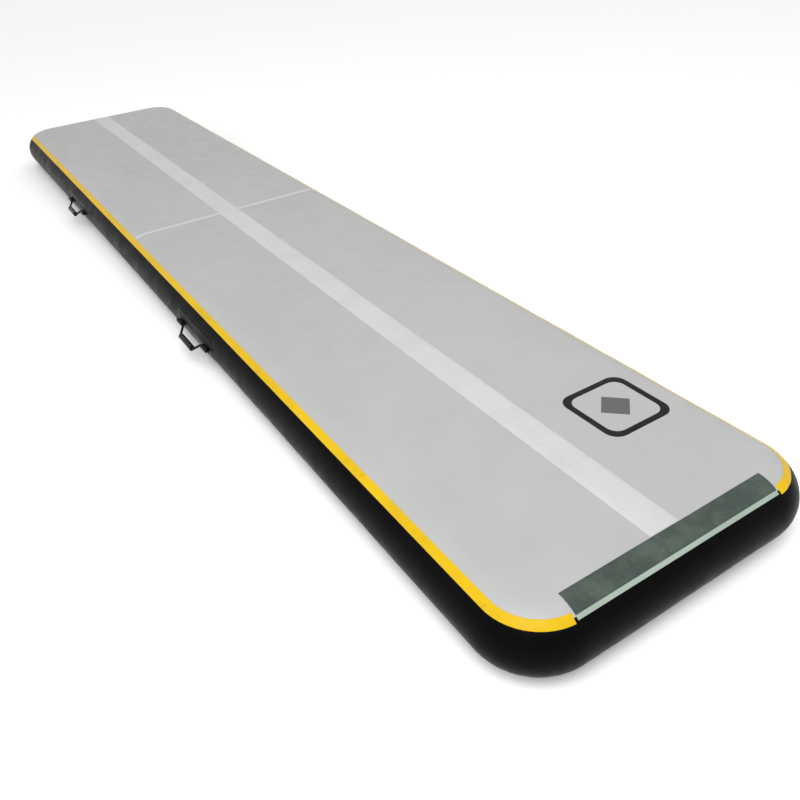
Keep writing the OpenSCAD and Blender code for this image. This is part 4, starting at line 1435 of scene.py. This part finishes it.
@dataclass
class Valve:
    """The air valve: its rubber boot in the rear panel, and details on its flange and cap.

    Local axes: Z points out of the rear wall, and 0 is the wall's outermost line.

    Attributes:
        shape: the surface that the boot's rim meets.
        wall: thickness of the boot.
        lip: how far the boot's rim stands proud of the wall.
        opening: radius of the hole in the boot's floor, which the barrel goes through.
        ribs: number of ribs round the flange.
        ribs_at: distance of the ribs from the axis.
        rib_size: length, width and height of a rib.
        cap: thickness of the cap.
        ring_r: radius of the raised ring on the cap.
        ring_t: radius of the ring's own section.
    """

    shape: MatShape
    wall: float = 1.5 * MM
    lip: float = 0.9 * MM
    opening: float = 16.1 * MM
    ribs: int = 36
    ribs_at: float = 26 * MM
    rib_size: tuple[float, float, float] = (4.5 * MM, 1.4 * MM, 0.5 * MM)
    cap: float = 3 * MM
    ring_r: float = 13 * MM
    ring_t: float = 0.9 * MM

    def build(self) -> None:
        """Makes the boot and the ribs."""
        low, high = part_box("valve_boot")
        self.centre = Vector(((low.x + high.x) / 2, self.shape.half_l, self.shape.edge_r))
        self.boot_r = (high.x - low.x) / 2
        self.floor = low.y - self.shape.half_l
        self.place = Matrix.Translation(self.centre) @ Matrix.Rotation(-math.pi / 2, 4, "X")
        self.boot()
        self.flange_ribs()
        self.cap_ring()

    def boot(self) -> None:
        """Makes the boot: a cup whose rim follows the rounded wall."""
        turn = np.linspace(0, math.tau, 96, endpoint=False)
        r, soft = self.boot_r, 3 * MM

        def rim(radius: float) -> np.ndarray:
            """Returns the wall's own height at that radius, all the way round."""
            return np.sqrt(self.shape.edge_r ** 2 - (radius * np.sin(turn)) ** 2) - self.shape.edge_r

        rows: list[tuple[float, Any]] = [(self.opening, self.floor + self.wall), (r - self.wall - soft,
                                                                            self.floor + self.wall)]
        rows += arc((r - self.wall - soft, self.floor + self.wall + soft), soft, -90, 0, 5)
        inner = r - self.wall
        rows += [(inner, rim(inner) - 1 * MM), (inner, rim(inner) + self.lip * 0.6)]
        rows += [(inner + 0.5 * MM, rim(inner) + self.lip), (r + 1.6 * MM, rim(r + 1.6 * MM) + self.lip),
                 (r + 2.4 * MM, rim(r + 2.4 * MM) + 0.15 * MM), (r - 0.1 * MM, rim(r) - 0.4 * MM)]
        rows += [(r - 0.1 * MM, self.floor + soft), (r - soft, self.floor), (self.opening, self.floor)]
        points = np.stack([
            np.stack([x * np.cos(turn), x * np.sin(turn), np.broadcast_to(z, turn.shape)], -1)
            for x, z in rows
        ])
        loop = np.concatenate([points, points[:1]])
        uv = np.stack(np.broadcast_arrays(turn[None] * r, np.linspace(0, 0.1, len(loop))[:, None]), -1)
        piece = new_piece("valve_boot_moulding", moved(loop.reshape(-1, 3), self.place),
                          grid_faces(len(loop), len(turn), 0, True), Slot.moulded_rubber,
                          uv.reshape(-1, 2), 1e-7)
        dress(piece, "mat", Slot.moulded_rubber, "valve_boot")

    def rib(self, length: float, width: float, height: float) -> bpy.types.Object:
        """Makes one small rounded rib along X, lying on the plane Z = 0."""
        across = arc((0, 0), 1.0, 0, 180, 5)
        line = np.linspace(-length / 2, length / 2, 5)
        ends = np.array([0.35, 0.9, 1.0, 0.9, 0.35])
        rings = [[(x, s * width / 2 * y, s * height * z - 0.2 * MM) for y, z in across]
                 for x, s in zip(line, ends)]
        points = np.array(rings)
        rows, cols = points.shape[:2]
        faces: list[tuple[int, ...]] = list(grid_faces(rows, cols, 0, True))
        faces += [tuple(range(cols - 1, -1, -1)), tuple(range((rows - 1) * cols, rows * cols))]
        return new_piece("rib", points.reshape(-1, 3), faces, Slot.valve_plastic)

    def flange_ribs(self) -> None:
        """Sets small radial ribs round the flange, under the cap's edge."""
        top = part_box("valve_cap_seal")[0].y - self.shape.half_l
        place = self.place @ Matrix.Translation((0, 0, top))
        piece = REPEAT.grow("valve_flange_ribs", REPEAT.row(), bpy.data.meshes.new("none"),
                            self.rib(*self.rib_size), Slot.valve_plastic, place,
                            Count=self.ribs, Radius=self.ribs_at, Turn=math.tau / self.ribs, Rise=0.0)
        dress(piece, "mat", Slot.valve_plastic)

    def cap_ring(self) -> None:
        """Makes the raised ring on the cap."""
        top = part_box("valve_cap_seal")[1].y + self.cap - self.shape.half_l
        outline = arc((self.ring_r, 0), self.ring_t, 0, 360, 12)[:-1]
        ring = lathe("valve_cap_raised_ring", outline, Slot.valve_plastic,
                     self.place @ Matrix.Translation((0, 0, top)), 72)
        dress(ring, "cap", Slot.valve_plastic)


# ---------------------------------------------------------------- frame's own nodes


@dataclass
class InnerParts:
    """The frame's own nodes that keep their shape and get a finish."""

    record: dict[str, Any]

    def build(self) -> None:
        """Gives every shown node the finish of its slot."""
        slots = {part["node"]: part["material_slot"] for part in self.record["subparts"]}
        for name, slot_name in slots.items():
            node = bpy.data.objects[name]
            if node.hide_render:
                continue
            slot = Slot[slot_name]
            if node.material_slots:
                for held in node.material_slots:
                    held.material = slot.material()
            else:
                node.data.materials.append(slot.material())
            LOG.info("%s keeps its shape, in %s", name, slot.name)


# ---------------------------------------------------------------- studio


@dataclass
class Studio:
    """Camera, pale floor and soft lights.

    Attributes:
        eye: the camera's place.
        look: its turn about X, Y and Z, in degrees.
        lens: focal length in millimetres, on a sensor 36 mm wide.
    """

    eye: tuple[float, float, float] = (-1.147, -3.216, 1.503)
    look: tuple[float, float, float] = (55.2265, 3.7192, -32.7177)
    lens: float = 35.32

    def build(self) -> None:
        """Sets up the shot."""
        self.camera()
        self.floor()
        self.lights()
        bpy.context.scene.view_settings.view_transform = "Standard"

    def camera(self) -> None:
        """Makes the camera."""
        data = bpy.data.cameras.new("camera")
        data.lens, data.sensor_width = self.lens, 36.0
        data.clip_end = 200.0
        camera = bpy.data.objects.new("camera", data)
        camera.location = self.eye
        camera.rotation_euler = [math.radians(a) for a in self.look]
        bpy.context.scene.collection.objects.link(camera)
        bpy.context.scene.camera = camera

    def floor(self) -> None:
        """Makes the plain pale floor."""
        mesh = bpy.data.meshes.new("floor")
        reach, drop = 60.0, -0.2 * MM
        mesh.from_pydata([(x * reach, y * reach, drop) for x, y in ((-1, -1), (1, -1), (1, 1), (-1, 1))], [],
                         [(0, 1, 2, 3)])
        material = Paint("studio_floor").finish(Base_Color=(0.93, 0.93, 0.93), Roughness=0.9,
                                                Specular_IOR_Level=0.1)
        mesh.materials.append(material)
        floor = bpy.data.objects.new("floor", mesh)
        bpy.context.scene.collection.objects.link(floor)

    def lights(self) -> None:
        """Makes the soft daylight and the large lamps."""
        world = bpy.data.worlds.new("studio")
        bpy.context.scene.world = world
        world.use_nodes = True
        world.node_tree.nodes["Background"].inputs[0].default_value = (1.0, 1.0, 1.0, 1.0)
        world.node_tree.nodes["Background"].inputs[1].default_value = 0.97
        self.lamp("front_lamp", (-1.8, -3.6, 4.2), (0.0, -1.6, 0.0), 3.0, 165.0)
        self.lamp("side_lamp", (-4.5, 0.5, 3.2), (0.0, 0.3, 0.1), 2.0, 25.0)

    def lamp(self, name: str, where: Sequence[float], at: Sequence[float], size: float,
             power: float) -> None:
        """Makes one square lamp that faces a point."""
        data = bpy.data.lights.new(name, "AREA")
        data.size, data.energy = size, power
        lamp = bpy.data.objects.new(name, data)
        lamp.location = where
        lamp.rotation_euler = (Vector(at) - Vector(where)).to_track_quat("-Z", "Y").to_euler()
        bpy.context.scene.collection.objects.link(lamp)


# ---------------------------------------------------------------- main


def main() -> None:
    """Builds the mat round its frame."""
    logging.basicConfig(level=logging.INFO, format="%(name)s: %(message)s")
    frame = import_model()
    Studio().build()
    shape = MatShape()
    FabricBody(shape).build()
    SeamTapes(shape).build()
    Markings(shape).build()
    Connector(shape).build()
    for joint in frame["joints"]:
        if joint["child"].startswith("handle_"):
            Handle(joint["child"].removeprefix("handle_"), shape, Vector(joint["pos_m"])).build()
    Valve(shape).build()
    InnerParts(frame["record"]).build()


if __name__ == "__main__":
    main()
